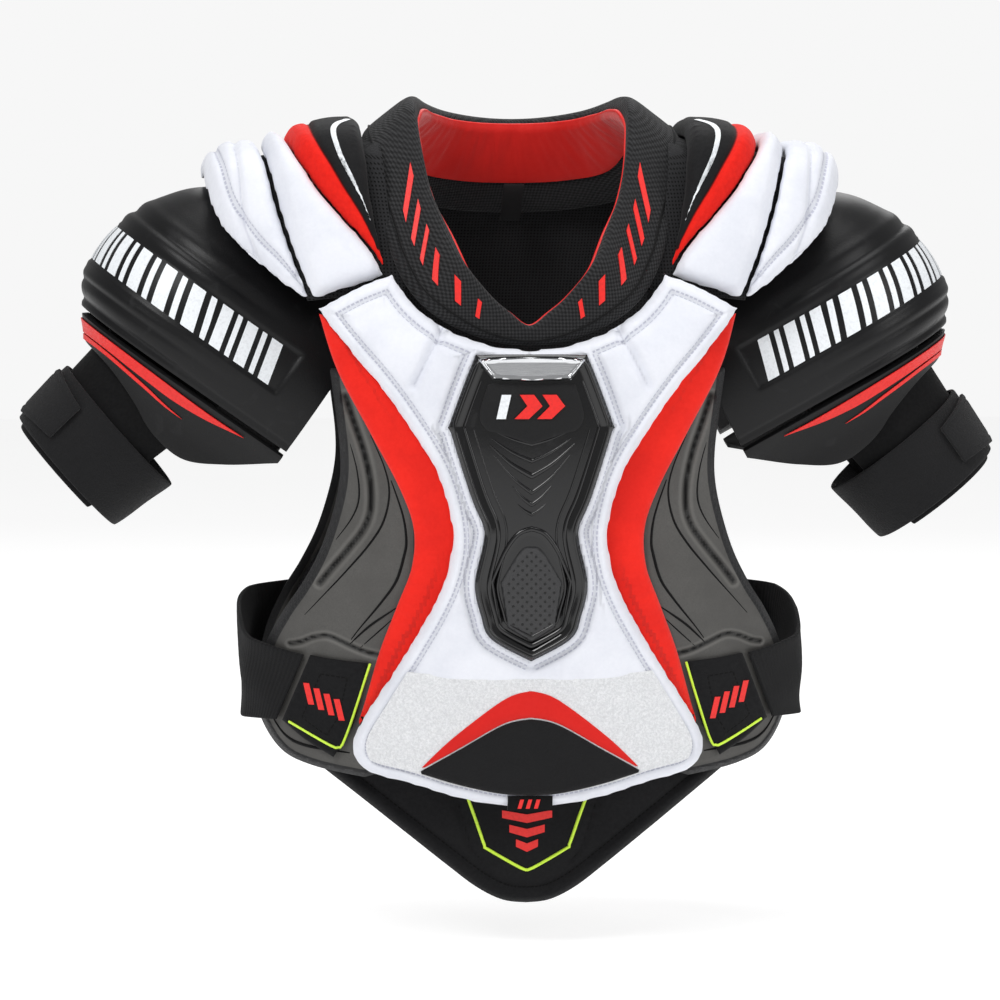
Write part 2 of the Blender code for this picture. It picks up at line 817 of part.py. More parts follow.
def cut_flat(obj, keep_above, height):
    """Cuts a closed mesh at a height and closes the cut, keeping one side of it."""
    solid = bmesh.new()
    solid.from_mesh(obj.data)
    cut = bmesh.ops.bisect_plane(
        solid, geom=[*solid.verts, *solid.edges, *solid.faces], plane_co=(0, 0, height),
        plane_no=(0, 0, 1), clear_inner=keep_above, clear_outer=not keep_above)
    edges = [e for e in cut["geom_cut"] if isinstance(e, bmesh.types.BMEdge)]
    bmesh.ops.holes_fill(solid, edges=edges)
    bmesh.ops.recalc_face_normals(solid, faces=solid.faces)
    solid.to_mesh(obj.data)
    solid.free()


def make_collar(look):
    """The front V moves with the chest and the rest stays on the yoke, so it is cut in two."""
    stations = collar_stations()
    half = COLLAR_THICKNESS / 2
    split = grade_z(COLLAR_SPLIT_HEIGHT)
    for name, above, height in (("collar_front", False, split - COLLAR_SPLIT_GAP),
                                ("collar_back", True, split)):
        sections = [collar_section(stations, i, -half, half) for i in range(len(stations))]
        ring = loft(name, sections, look["black_knit"], closed_path=True)
        cut_flat(ring, above, height)
    first = next(i for i, s in enumerate(stations) if s[0].z > split + COLLAR_LINING_START)
    sections = []
    for i in range(first, len(stations) - first + 1):
        section = collar_section(stations, i, -half, half)
        top, low = section[-1], section[-2]
        away = (stations[i][0] + stations[i][1]) / 2 - section[3]
        away.normalize()
        start = top + away * COLLAR_LINING_GAP
        end = start + (low - top) * COLLAR_LINING_DROP
        sections.append([start, end, end + away * COLLAR_LINING, start + away * COLLAR_LINING])
    loft("collar_lining", sections, look["red_fabric"])


def make_hang_loop(look):
    """A small webbing loop sewn inside the back of the collar, below its lining."""
    wall, drop, stand = HANG_LOOP_WALL, HANG_LOOP_DROP, HANG_LOOP_STAND
    back, top = grade_y(HANG_LOOP_PLACE[0]), HANG_LOOP_PLACE[1]
    outer = [(0.0, 0.0), (0.0, -drop), (stand, -drop), (stand, 0.0)]
    inner = [(wall, -wall), (wall, wall - drop), (stand - wall, wall - drop),
             (stand - wall, -wall)]
    solid = bmesh.new()
    loops = []
    for x in (-HANG_LOOP_WIDTH / 2, HANG_LOOP_WIDTH / 2):
        for shape in (outer, inner):
            loops.append([solid.verts.new((x, back - y, top + z)) for y, z in shape])
    left_outer, left_inner, right_outer, right_inner = loops
    for k in range(4):
        n = (k + 1) % 4
        solid.faces.new((left_outer[k], left_outer[n], right_outer[n], right_outer[k]))
        solid.faces.new((left_inner[k], right_inner[k], right_inner[n], left_inner[n]))
        solid.faces.new((left_outer[k], left_inner[k], left_inner[n], left_outer[n]))
        solid.faces.new((right_outer[k], right_outer[n], right_inner[n], right_inner[k]))
    bmesh.ops.recalc_face_normals(solid, faces=solid.faces)
    return new_object("hang_loop", solid, look["black_fabric"], shade=False)


# ---- Side straps --------------------------------------------------------------------------------
STRAP_HEIGHTS = [(-1.0, -0.314, -0.360), (-0.4, -0.302, -0.362), (0.0, -0.292, -0.356),
                 (0.5, -0.283, -0.348), (1.0, -0.280, -0.343)]
STRAP_STEPS = 16
STRAP_LANDS = 0.60


def strap_point(turn, height, offset, front_angle, back_angle):
    """A point beside the trunk; turn runs from -1 at the tab to 1 at the back."""
    angle = (front_angle if turn < 0 else back_angle) * turn
    half_width, half_depth, power = form_at(height)
    reach = offset - STRAP_TUCK * max(0.0, 1 - (turn / STRAP_LANDS) ** 2) ** 1.5
    x = (half_width + reach) * math.cos(math.radians(angle)) ** (2 / power)
    y = (half_depth + reach) * abs(math.sin(math.radians(angle))) ** (2 / power)
    return Vector((x, math.copysign(y, angle), height))


def angle_reaching(x, height, offset):
    """The angle round the trunk at which the strap's skin is that far across."""
    half_width, _, power = form_at(height)
    return math.degrees(math.acos((x / (half_width + offset)) ** (power / 2)))


def strap_offset():
    return rib_layer(0, 0)[1] + STRAP_GAP


def strap_heights(turn):
    for (t0, top0, low0), (t1, top1, low1) in zip(STRAP_HEIGHTS, STRAP_HEIGHTS[1:]):
        if turn <= t1:
            k = (turn - t0) / (t1 - t0)
            return grade_z(top0 + k * (top1 - top0)), grade_z(low0 + k * (low1 - low0))
    return grade_z(STRAP_HEIGHTS[-1][1]), grade_z(STRAP_HEIGHTS[-1][2])


def tab_layer(x, z):
    return strap_offset(), strap_offset() + TAB_THICKNESS


def make_straps(look):
    """Elastic from the back panel round to the tab, whose slanted edge it is sewn to."""
    offset = strap_offset()
    edge_top, edge_low = graded(TAB_OUTLINE)[1], graded(TAB_OUTLINE)[2]
    back_reach = grade_x(STRAP_BACK_REACH)
    for side, sign in SIDES.items():
        sections = []
        for k in range(STRAP_STEPS + 1):
            turn = -1 + 2 * k / STRAP_STEPS
            top, low = strap_heights(turn)
            section = []
            for height, edge in ((top, edge_top), (low, edge_low)):
                front = angle_reaching(edge[0] + SEAM_GAP, height, offset)
                back = angle_reaching(back_reach, height, offset)
                for wall in (0.0, STRAP_THICKNESS):
                    p = strap_point(turn, height, offset + wall, front, back)
                    section.append(Vector((sign * p.x, p.y, p.z)))
            sections.append([section[0], section[1], section[3], section[2]])
        loft(f"side_strap_{side}", sections, look["black_elastic"])

        tab = [Vector((sign * p[0], p[1])) for p in graded(TAB_OUTLINE)]
        draped_panel(f"strap_tab_{side}", tab, FRONT, tab_layer, look["black_fabric"])


# ---- Arms ---------------------------------------------------------------------------------------
# The cap's silhouette down the arm: (distance down the arm, radius).
CAP_PROFILE = [(-0.046, 0.014), (-0.041, 0.036), (-0.028, 0.057), (-0.006, 0.077),
               (0.018, 0.0890), (0.044, 0.0950), (0.068, 0.0920), (0.088, 0.0805)]
LIP_PROFILE = [(0.0925, 0.0770), (0.102, 0.0680), (0.112, 0.0620), (0.134, 0.0600)]
LIP_BOTTOM = [(0.0, 0.106), (0.35, 0.112), (0.50, 0.121), (0.62, 0.131), (0.74, 0.133),
              (0.86, 0.120), (1.0, 0.098)]
CAP_AROUND = 18
CAP_CURVE_SHARE = 0.56
FLAP_REACH = 0.092
FLAP_PINCH = 0.04
FLAP_FULL_RADIUS = 0.060


def on_line(table, at):
    """Linear reading of a table of (place, value)."""
    for (a, va), (b, vb) in zip(table, table[1:]):
        if at <= b:
            return va + (vb - va) * (at - a) / (b - a)
    return table[-1][1]


def cap_point(down, around, radius, depth):
    """Arm coordinates: x outwards, y back, z up the arm. around runs from -1 at the front
    flap's edge to 1 at the back flap's edge, with 0 at the outer side."""
    share = abs(around)
    if share <= CAP_CURVE_SHARE:
        turn = share / CAP_CURVE_SHARE * math.pi / 2
        out, back = radius * math.cos(turn), depth * math.sin(turn)
    else:
        k = (share - CAP_CURVE_SHARE) / (1 - CAP_CURVE_SHARE)
        reach = FLAP_REACH * min(1.0, radius / FLAP_FULL_RADIUS)
        out, back = -k * reach, depth * (1 - FLAP_PINCH * k * k)
    return Vector((out, math.copysign(back, around), -down))


def cap_depth(radius):
    return CAP_DEPTH * (radius / max(r for _, r in CAP_PROFILE)) ** 0.9


def cap_rows(profile, bottom=None):
    rows = []
    turns = [-1 + 2 * k / CAP_AROUND for k in range(CAP_AROUND + 1)]
    top = profile[0][0]
    for down, radius in profile:
        row = []
        for t in turns:
            place = down
            if bottom:
                end = on_line(bottom, abs(t))
                share = (down - top) / (profile[-1][0] - top)
                place = top + share * (end - top)
                radius = on_line(profile, place)
            row.append(cap_point(place, t, radius, cap_depth(radius)))
        rows.append(row)
    return rows


def arm_frame(side):
    """An empty at the shoulder joint, its -Z down the arm and its X outwards."""
    sign = SIDES[side]
    frame = bpy.data.objects.new(f"arm_frame_{side}", None)
    x, y, z = SHOULDER_JOINT
    frame.location = (sign * grade_x(x), y, grade_z(z))
    frame.rotation_euler = (0, sign * math.radians(ARM_ANGLE[side] - 90), 0)
    bpy.context.scene.collection.objects.link(frame)
    return frame


def cuff_frame(side, arm):
    """An empty at the cuff's pivot, bent outwards from the arm."""
    sign = SIDES[side]
    frame = bpy.data.objects.new(f"cuff_frame_{side}", None)
    frame.parent = arm
    frame.location = (sign * CUFF_PIVOT[0], 0, -CUFF_PIVOT[1])
    frame.rotation_euler = (0, -sign * math.radians(CUFF_BEND[side]), 0)
    bpy.context.scene.collection.objects.link(frame)
    return frame


def facing(rows, sign):
    """Mirrors rows of points for the wearer's right, keeping their faces pointing out."""
    if sign > 0:
        return [list(reversed(row)) for row in rows]
    return [[mirror_x(p) for p in row] for row in rows]


def make_cap(side, arm, look):
    sign = SIDES[side]
    shell = open_sheet(f"cap_shell_{side}", facing(cap_rows(CAP_PROFILE), sign),
                       look["cap_plastic"], CAP_SHELL)
    foam = open_sheet(f"cap_foam_{side}", facing(cap_rows(CAP_PROFILE[1:]), sign),
                      look["grey_foam"], CAP_FOAM, CAP_SHELL + LAYER_GAP)
    lip = open_sheet(f"cap_lip_{side}", facing(cap_rows(LIP_PROFILE, LIP_BOTTOM), sign),
                     look["cap_plastic"], CAP_LIP)
    for piece in (shell, foam, lip):
        piece.parent = arm


def cuff_taper(down):
    share = max(down, 0.0) / CUFF_LENGTH
    return 1 - (1 - CUFF_TAPER) * share


def cuff_ring(down, grow, first, last, steps):
    """Points round the cuff, from angle first to last. 0 is outwards and 90 is back."""
    scale = cuff_taper(down)
    ring = []
    for k in range(steps + 1):
        angle = math.radians(first + (last - first) * k / steps)
        ring.append(Vector(((CUFF_RADIUS * scale + grow) * math.cos(angle),
                            (CUFF_DEPTH * scale + grow) * math.sin(angle), -down)))
    return ring


def make_cuff(side, frame, look):
    """The bicep pad is open at the armpit; the strap goes all the way round it."""
    sign = SIDES[side]
    downs = [CUFF_START + (CUFF_LENGTH - CUFF_START) * k / 5 for k in range(6)]
    first, last = -180 + CUFF_OPENING, 180 - CUFF_OPENING
    rows = [cuff_ring(d, 0.0, first, last, 18) for d in downs]
    pad = open_sheet(f"bicep_pad_{side}", facing(rows, sign), look["black_fabric"], CUFF_PAD)
    base = LAYER_GAP
    ends = (CUFF_STRAP_FROM, CUFF_STRAP_FROM + CUFF_STRAP_WIDTH)
    sections = []
    for k in range(24):
        angle = 360 * k / 24
        corners = []
        for down, grow in ((ends[0], base), (ends[0], base + CUFF_STRAP_WALL),
                           (ends[1], base + CUFF_STRAP_WALL), (ends[1], base)):
            p = cuff_ring(down, grow, angle, angle, 1)[0]
            corners.append(Vector((sign * p.x, p.y, p.z)))
        sections.append(corners)
    strap = loft(f"bicep_strap_{side}", sections, look["black_elastic"], closed_path=True)
    grow = base + CUFF_STRAP_WALL + LAYER_GAP
    sections = []
    for k in range(7):
        angle = CUFF_TAB_SPAN[0] + (CUFF_TAB_SPAN[1] - CUFF_TAB_SPAN[0]) * k / 6
        inset = CUFF_TAB_INSET[0] + (CUFF_TAB_INSET[1] - CUFF_TAB_INSET[0]) * k / 6
        corners = []
        for down, out in ((ends[0] + inset, grow), (ends[0] + inset, grow + CUFF_TAB_WALL),
                          (ends[1] - inset, grow + CUFF_TAB_WALL), (ends[1] - inset, grow)):
            p = cuff_ring(down, out, angle, angle, 1)[0]
            corners.append(Vector((sign * p.x, p.y, p.z)))
        sections.append(corners)
    tab = loft(f"bicep_strap_tab_{side}", sections, look["black_fabric"])
    for piece in (pad, strap):
        piece.parent = frame
    pivot = cuff_ring((ends[0] + ends[1]) / 2, grow, CUFF_TAB_SPAN[0], CUFF_TAB_SPAN[0], 1)[0]
    pivot.x *= sign
    hinge = joint_empty(f"cuff_tab_hinge_{side}", pivot)
    hinge.parent = frame
    hang_on(hinge, pivot, tab.name)


def make_arms(look):
    for side in SIDES:
        arm = arm_frame(side)
        make_cap(side, arm, look)
        make_cuff(side, cuff_frame(side, arm), look)


def joint_empty(name, place, parent=None):
    """An empty on a joint's axis, for its pieces to hang on."""
    empty = bpy.data.objects.new(name, None)
    empty.location = place - (parent.location if parent else Vector())
    empty.parent = parent
    bpy.context.scene.collection.objects.link(empty)
    return empty


def hang_on(empty, pivot, *names):
    for name in names:
        piece = bpy.data.objects[name]
        piece.parent = empty
        piece.location = -pivot


def both(name):
    return [f"{name}_{side}" for side in SIDES]


def tab_hinge(side):
    """The middle of the slanted edge that the strap tab shares with its strap."""
    (x0, z0), (x1, z1) = [p[:2] for p in graded(TAB_OUTLINE)[1:3]]
    x, z = (x0 + x1) / 2, (z0 + z1) / 2
    return Vector((SIDES[side] * x, -form_depth(x, z, strap_offset()), z))


def join_bodies():
    front_pivot = Vector((0, grade_y(FRONT_HINGE[0]), grade_z(FRONT_HINGE[1])))
    front = joint_empty("front_hinge", front_pivot)
    hang_on(front, front_pivot, "chest_panel", "front_liner", "chest_core_foam",
            *both("red_side_panel"), *both("rib_panel"), "sternum_plate", "sternum_insert",
            "sternum_emblem", "sternum_badge", "hem_chevron", "belly_loop_patch", "size_tag",
            "collar_front")
    hang_on(joint_empty("belly_slide", front_pivot, front), front_pivot, "belly_pad",
            "belly_hook_strip")
    for side, sign in SIDES.items():
        pivot = tab_hinge(side)
        hang_on(joint_empty(f"tab_hinge_{side}", pivot, front), pivot, f"strap_tab_{side}")
        pivot = Vector((sign * grade_x(EPAULETTE_HINGE[0]), 0, EPAULETTE_HINGE[1]))
        hang_on(joint_empty(f"epaulette_hinge_{side}", pivot), pivot, f"epaulette_{side}")


def main():
    for obj in list(bpy.data.objects):
        bpy.data.objects.remove(obj)
    look = make_materials()
    make_front(look)
    make_sternum(look)
    make_hem(look)
    make_back(look)
    make_arches(look)
    make_collar(look)
    make_hang_loop(look)
    make_straps(look)
    make_arms(look)
    join_bodies()


main()
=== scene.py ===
import math

import bpy
import numpy as np
from mathutils import Matrix, Vector


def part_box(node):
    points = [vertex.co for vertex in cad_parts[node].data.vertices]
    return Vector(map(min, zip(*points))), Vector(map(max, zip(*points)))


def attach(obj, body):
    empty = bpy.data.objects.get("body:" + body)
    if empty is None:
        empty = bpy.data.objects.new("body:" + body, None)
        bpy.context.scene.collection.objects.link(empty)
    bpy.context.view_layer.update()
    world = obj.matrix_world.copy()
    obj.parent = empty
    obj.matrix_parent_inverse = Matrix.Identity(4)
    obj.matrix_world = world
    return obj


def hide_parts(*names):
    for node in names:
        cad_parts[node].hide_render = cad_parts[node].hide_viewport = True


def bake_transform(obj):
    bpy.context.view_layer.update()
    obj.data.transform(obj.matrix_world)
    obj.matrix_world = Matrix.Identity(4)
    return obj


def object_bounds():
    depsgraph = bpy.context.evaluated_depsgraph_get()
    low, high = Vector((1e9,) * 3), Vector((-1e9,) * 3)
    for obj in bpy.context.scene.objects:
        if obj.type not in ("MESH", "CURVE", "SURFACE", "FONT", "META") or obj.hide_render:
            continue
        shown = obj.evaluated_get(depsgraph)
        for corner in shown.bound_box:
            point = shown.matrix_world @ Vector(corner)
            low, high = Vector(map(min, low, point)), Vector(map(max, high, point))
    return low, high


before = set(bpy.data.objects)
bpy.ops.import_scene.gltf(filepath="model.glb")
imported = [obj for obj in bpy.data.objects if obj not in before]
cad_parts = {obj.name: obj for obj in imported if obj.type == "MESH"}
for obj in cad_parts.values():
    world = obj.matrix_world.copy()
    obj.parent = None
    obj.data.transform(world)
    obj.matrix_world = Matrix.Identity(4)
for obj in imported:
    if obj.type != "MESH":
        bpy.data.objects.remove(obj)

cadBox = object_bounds()
print("frame loaded")

sides = {"left": 1, "right": -1}


def useOnly(piece):
    bpy.ops.object.select_all(action="DESELECT")
    piece.select_set(True)
    bpy.context.view_layer.objects.active = piece


def pointsOf(mesh):
    co = np.empty(len(mesh.vertices) * 3)
    mesh.vertices.foreach_get("co", co)
    return co.reshape(-1, 3)


# places seen from the front
def flatPlace(piece):
    return pointsOf(piece.data)[:, [0, 2]]


def setPoints(mesh, co):
    mesh.vertices.foreach_set("co", np.asarray(co, np.float32).ravel())
    mesh.update()


def normalsOf(mesh):
    normals = np.empty(len(mesh.vertices) * 3)
    mesh.vertex_normals.foreach_get("vector", normals)
    return normals.reshape(-1, 3)


# a number on every vertex, for the finish to read
def tag(piece, name, values):
    attribute = piece.data.attributes.get(name) or piece.data.attributes.new(name, "FLOAT", "POINT")
    attribute.data.foreach_set("value", np.asarray(values, np.float32))


def applyModifier(piece, kind, **settings):
    useOnly(piece)
    modifier = piece.modifiers.new(kind.title(), kind)
    for key, value in settings.items():
        setattr(modifier, key, value)
    bpy.ops.object.modifier_apply(modifier=modifier.name)


# the whole mesh in edit mode, one operator after another
def reshape(piece, *steps):
    useOnly(piece)
    bpy.ops.object.mode_set(mode="EDIT")
    bpy.ops.mesh.select_all(action="SELECT")
    for operator, settings in steps:
        operator(**settings)
    bpy.ops.object.mode_set(mode="OBJECT")


turnOut = (bpy.ops.mesh.normals_make_consistent, {"inside": False})
weld = (bpy.ops.mesh.remove_doubles, {"threshold": 0.00001})


def shadeSoft(piece, angle=50):
    useOnly(piece)
    bpy.ops.object.shade_smooth_by_angle(angle=math.radians(angle))


# a copy with its own mesh
def copied(piece, name):
    useOnly(piece)
    bpy.ops.object.duplicate()
    twin = bpy.context.active_object
    twin.name = twin.data.name = name
    return twin


# the other side's copy
def mirrored(piece, name):
    twin = copied(piece, name)
    setPoints(twin.data, pointsOf(twin.data) * (-1, 1, 1))
    twin.data.flip_normals()
    return twin


def ease(value, low, high):
    t = np.clip((value - low) / (high - low), 0, 1)
    return t * t * (3 - 2 * t)


def hump(value, centre, width):
    return np.exp(-((value - centre) / width) ** 2)


# the body's sections, as the frame's layers have them: height, width, depth, roundness
bodyForm = [
    (0.075, 0.345, 0.490, 2.2), (0.045, 0.400, 0.560, 2.4), (0.036, 0.600, 0.650, 2.6),
    (0.029, 0.790, 0.720, 2.9), (0.022, 1.000, 0.785, 3.1), (0.015, 1.100, 0.830, 3.2),
    (0.005, 1.175, 0.870, 3.2), (-0.012, 1.205, 0.905, 3.2), (-0.035, 1.220, 0.945, 3.2),
    (-0.070, 1.200, 0.992, 3.1), (-0.120, 1.111, 1.017, 2.9), (-0.200, 1.048, 1.025, 2.6),
    (-0.300, 1.000, 1.000, 2.4), (-0.400, 0.968, 0.950, 2.4), (-0.520, 0.940, 0.875, 2.4),
]
halfChest, halfDepth, archCentre, archScale = 0.189, 0.120, -0.090, 0.0021


# the sections read every half millimetre, on the same smooth curve
def formTable():
    rows = np.array(bodyForm)
    heights = np.arange(-0.5195, 0.0745, 0.0005)
    table = []
    for height in heights:
        i = next(k for k in range(len(rows) - 1) if rows[k + 1][0] <= height)
        z0, z1 = rows[i][0], rows[i + 1][0]
        t = (z0 - height) / (z0 - z1)
        before, after = rows[max(i - 1, 0)], rows[min(i + 2, len(rows) - 1)]
        slope0 = (rows[i + 1] - before) / (rows[i + 1][0] - before[0]) * (z1 - z0)
        slope1 = (after - rows[i]) / (after[0] - rows[i][0]) * (z1 - z0)
        table.append(rows[i] * (2 * t**3 - 3 * t**2 + 1) + slope0 * (t**3 - 2 * t**2 + t)
                     + rows[i + 1] * (3 * t**2 - 2 * t**3) + slope1 * (t**3 - t**2))
    return heights, np.array(table)[:, 1:]


formHeights, formValues = formTable()


def formAt(height):
    width, depth, power = (np.interp(height, formHeights, formValues[:, k]) for k in range(3))
    return width * halfChest, depth * halfDepth, power


def formDepth(x, z, offset=0.0):
    halfWidth, half, power = formAt(np.where(z > 0, z - offset, z))
    share = np.minimum(np.abs(x) / (halfWidth + offset), 0.985)
    return (half + offset) * (1 - share**power) ** (1 / power)


# over the shoulder: 0 is forward, 90 straight up, 180 back
def archPlace(x, angle, offset):
    x, angle, offset = np.broadcast_arrays(x, np.asarray(angle, float), offset)
    forward, upward = -np.cos(np.radians(angle)), np.sin(np.radians(angle))
    near, far = np.zeros(x.shape), np.full(x.shape, 0.30)
    for _ in range(34):
        reach = (near + far) / 2
        y, z = reach * forward, archCentre + reach * upward
        halfWidth, half, power = formAt(z - offset)
        inside = ((np.abs(x) / (halfWidth + offset)) ** power
                  + (np.abs(y) / (half + offset)) ** power) < 1
        near, far = np.where(inside, reach, near), np.where(inside, far, reach)
    return np.stack([x, near * forward, archCentre + near * upward], 1)


def onFront(uv, offset):
    return np.stack([uv[:, 0], -formDepth(uv[:, 0], uv[:, 1], offset), uv[:, 1]], 1)


def onBack(uv, offset):
    return np.stack([uv[:, 0], formDepth(uv[:, 0], uv[:, 1], offset), uv[:, 1]], 1)


def overShoulder(uv, offset):
    return archPlace(uv[:, 0], uv[:, 1] / archScale, offset)


# a place over the shoulder, back in the flat pattern
def archPattern(co):
    angle = np.degrees(np.arctan2(co[:, 2] - archCentre, -co[:, 1]))
    return np.stack([co[:, 0], angle * archScale], 1)


# layers over the form: (inner, outer) offsets, as the frame has them
gap, linerWall, ribWall, redWall, chestWall, spineWall = 0.0015, 0.003, 0.009, 0.003, 0.014, 0.013
archWall, epauletteWall, thinWall = 0.013, 0.010, 0.0012


def stepUp(z):
    return ease(-z, 0.070, 0.112)


def redBase(z):
    return linerWall + gap + (ribWall + gap) * stepUp(z)


def chestBase(z):
    return redBase(z) + redWall + gap


def chestTop(z):
    return chestBase(z) + chestWall


# a smooth line through points; one that ends in "corner" keeps its corner
def curveThrough(points, step=0.003):
    places = [np.array(p[:2], float) for p in points]
    corners = [p[-1] == "corner" for p in points]
    line = [places[0]]
    for i in range(len(places) - 1):
        a, b = places[i], places[i + 1]
        before = a if i == 0 or corners[i] else places[i - 1]
        after = b if i + 2 >= len(places) or corners[i + 1] else places[i + 2]
        count = max(1, round(np.linalg.norm(b - a) / step))
        for k in range(1, count + 1):
            t = k / count
            bend = 0.5 * ((b - before) * (t**3 - 2 * t**2 + t) + (after - a) * (t**3 - t**2))
            line.append(a + (b - a) * (3 * t**2 - 2 * t**3) + bend)
    return np.array(line)


# a closed outline with a corner at every point
def cornered(points, step):
    return curveThrough([(*p, "corner") for p in [*points, points[0]]], step)[:-1]


def wholeOutline(half, step=0.003):
    line = curveThrough(half, step)
    return np.vstack([line, (line * (-1, 1))[::-1][1:-1]])


def joined(*lines):
    return np.vstack([curveThrough(line)[:-1] for line in lines])


# how far points are from a line, how far along it, and the nearest place on it
def measured(points, line, closed=True):
    a = line if closed else line[:-1]
    b = np.roll(line, -1, 0) if closed else line[1:]
    seg = b - a
    length = np.maximum(np.linalg.norm(seg, axis=1), 1e-9)
    start = np.concatenate([[0], np.cumsum(length)[:-1]])
    away, run, place = [], [], []
    for i in range(0, len(points), 6000):
        p = points[i:i + 6000, None, :]
        t = np.clip(((p - a) * seg).sum(2) / length**2, 0, 1)
        q = a + t[..., None] * seg
        d = np.linalg.norm(p - q, axis=2)
        k = d.argmin(1)
        row = np.arange(len(k))
        away.append(d[row, k])
        run.append(start[k] + t[row, k] * length[k])
        place.append(q[row, k])
    return np.concatenate(away), np.concatenate(run), np.vstack(place)


def isInside(points, outline):
    x, y = points[:, 0], points[:, 1]
    found = np.zeros(len(points), bool)
    for (x0, y0), (x1, y1) in zip(outline, np.roll(outline, -1, 0)):
        if y0 != y1:
            crosses = (y0 > y) != (y1 > y)
            found ^= crosses & (x < (x1 - x0) * (y - y0) / (y1 - y0) + x0)
    return found


# what the next operators act on
def chosen(mesh, points=None, faces=None):
    for parts, wanted in ((mesh.vertices, points), (mesh.edges, None), (mesh.polygons, faces)):
        parts.foreach_set("select", np.zeros(len(parts), bool) if wanted is None else wanted)


# how far points are outside an outline, less than nothing inside it
def beyond(points, outline):
    away = measured(points, outline)[0]
    return np.where(isInside(points, outline), -away, away)


# a grid, trimmed to the outline and pulled onto it; it lies flat in X and Y
def cutPattern(name, outline, cell):
    low, high = outline.min(0), outline.max(0)
    counts = np.maximum(2, np.ceil((high - low) / cell)).astype(int)
    bpy.ops.object.select_all(action="DESELECT")
    bpy.ops.mesh.primitive_grid_add(x_subdivisions=int(counts[0]), y_subdivisions=int(counts[1]),
                                    size=2, location=(0, 0, 0))
    piece = bpy.context.active_object
    piece.name = piece.data.name = name
    mesh = piece.data
    co = pointsOf(mesh)
    co[:, :2] = low + (co[:, :2] + 1) / 2 * (high - low)
    setPoints(mesh, co)
    centres = np.empty(len(mesh.polygons) * 3)
    mesh.polygons.foreach_get("center", centres)
    outside = ~isInside(centres.reshape(-1, 3)[:, :2], outline)
    chosen(mesh, faces=outside)
    bpy.context.tool_settings.mesh_select_mode = (False, False, True)
    bpy.ops.object.mode_set(mode="EDIT")
    bpy.ops.mesh.delete(type="FACE")
    bpy.ops.object.mode_set(mode="OBJECT")
    bpy.context.tool_settings.mesh_select_mode = (True, False, False)
    uses = np.empty(len(mesh.loops), int)
    mesh.loops.foreach_get("edge_index", uses)
    ends = np.empty(len(mesh.edges) * 2, int)
    mesh.edges.foreach_get("vertices", ends)
    border = np.unique(ends.reshape(-1, 2)[np.bincount(uses, minlength=len(mesh.edges)) == 1])
    co = pointsOf(mesh)
    co[border, :2] = measured(co[border, :2], outline)[2]
    near = measured(co[:, :2], outline)[0] < 2.6 * cell
    near[border] = False
    setPoints(mesh, co)
    chosen(mesh, points=near)
    bpy.ops.object.mode_set(mode="EDIT")
    bpy.ops.mesh.vertices_smooth(factor=0.5, repeat=5)
    bpy.ops.object.mode_set(mode="OBJECT")
    return piece


# the same height all over
def level(height):
    return lambda uv: np.full(len(uv), height)


# extrudes the flat pattern into a closed pad between two skins laid on the form
def raisePad(piece, lay, inner, outer):
    lift = {"TRANSFORM_OT_translate": {"value": (0, 0, 0.001)}}
    reshape(piece, (bpy.ops.mesh.extrude_region_move, lift))
    co = pointsOf(piece.data)
    top = co[:, 2] > 0.0005
    uv = co[:, :2]
    co = np.where(top[:, None], lay(uv, outer(uv)), lay(uv, inner(uv)))
    setPoints(piece.data, co)
    reshape(piece, turnOut)


# cut, raised and shaded in one go
def layPad(name, outline, cell, lay, inner, outer, angle=60):
    piece = cutPattern(name, outline, cell)
    raisePad(piece, lay, inner, outer)
    shadeSoft(piece, angle)
    return piece


noRim, noSeam = 0.03, 0.1  # so far away that no stitch or groove shows
edgeFold = 0.0093, 0.0022  # where a sewn pad folds in beside its edge, and how widely


# distances from the outline and from the sewn lines, for grooves and stitches
def markRims(piece, uv, outline, seams=()):
    rim, run, _ = measured(uv, outline)
    rim = np.where(isInside(uv, outline), rim, 0)
    tag(piece, "rim", rim)
    tag(piece, "run", run)
    seam, seamRun = np.full(len(uv), noSeam), np.zeros(len(uv))
    for line in seams:
        away, along, _ = measured(uv, np.array(line), closed=False)
        closer = away < seam
        seam, seamRun = np.where(closer, away, seam), np.where(closer, along, seamRun)
    tag(piece, "seam", seam)
    tag(piece, "seamRun", seamRun)
    return rim, seam


padCloth = {"quality": 4, "mass": 0.2, "tension_stiffness": 12, "compression_stiffness": 12,
            "bending_stiffness": 1.5, "use_pressure": True, "vertex_group_mass": "pins"}
padFrames = 20


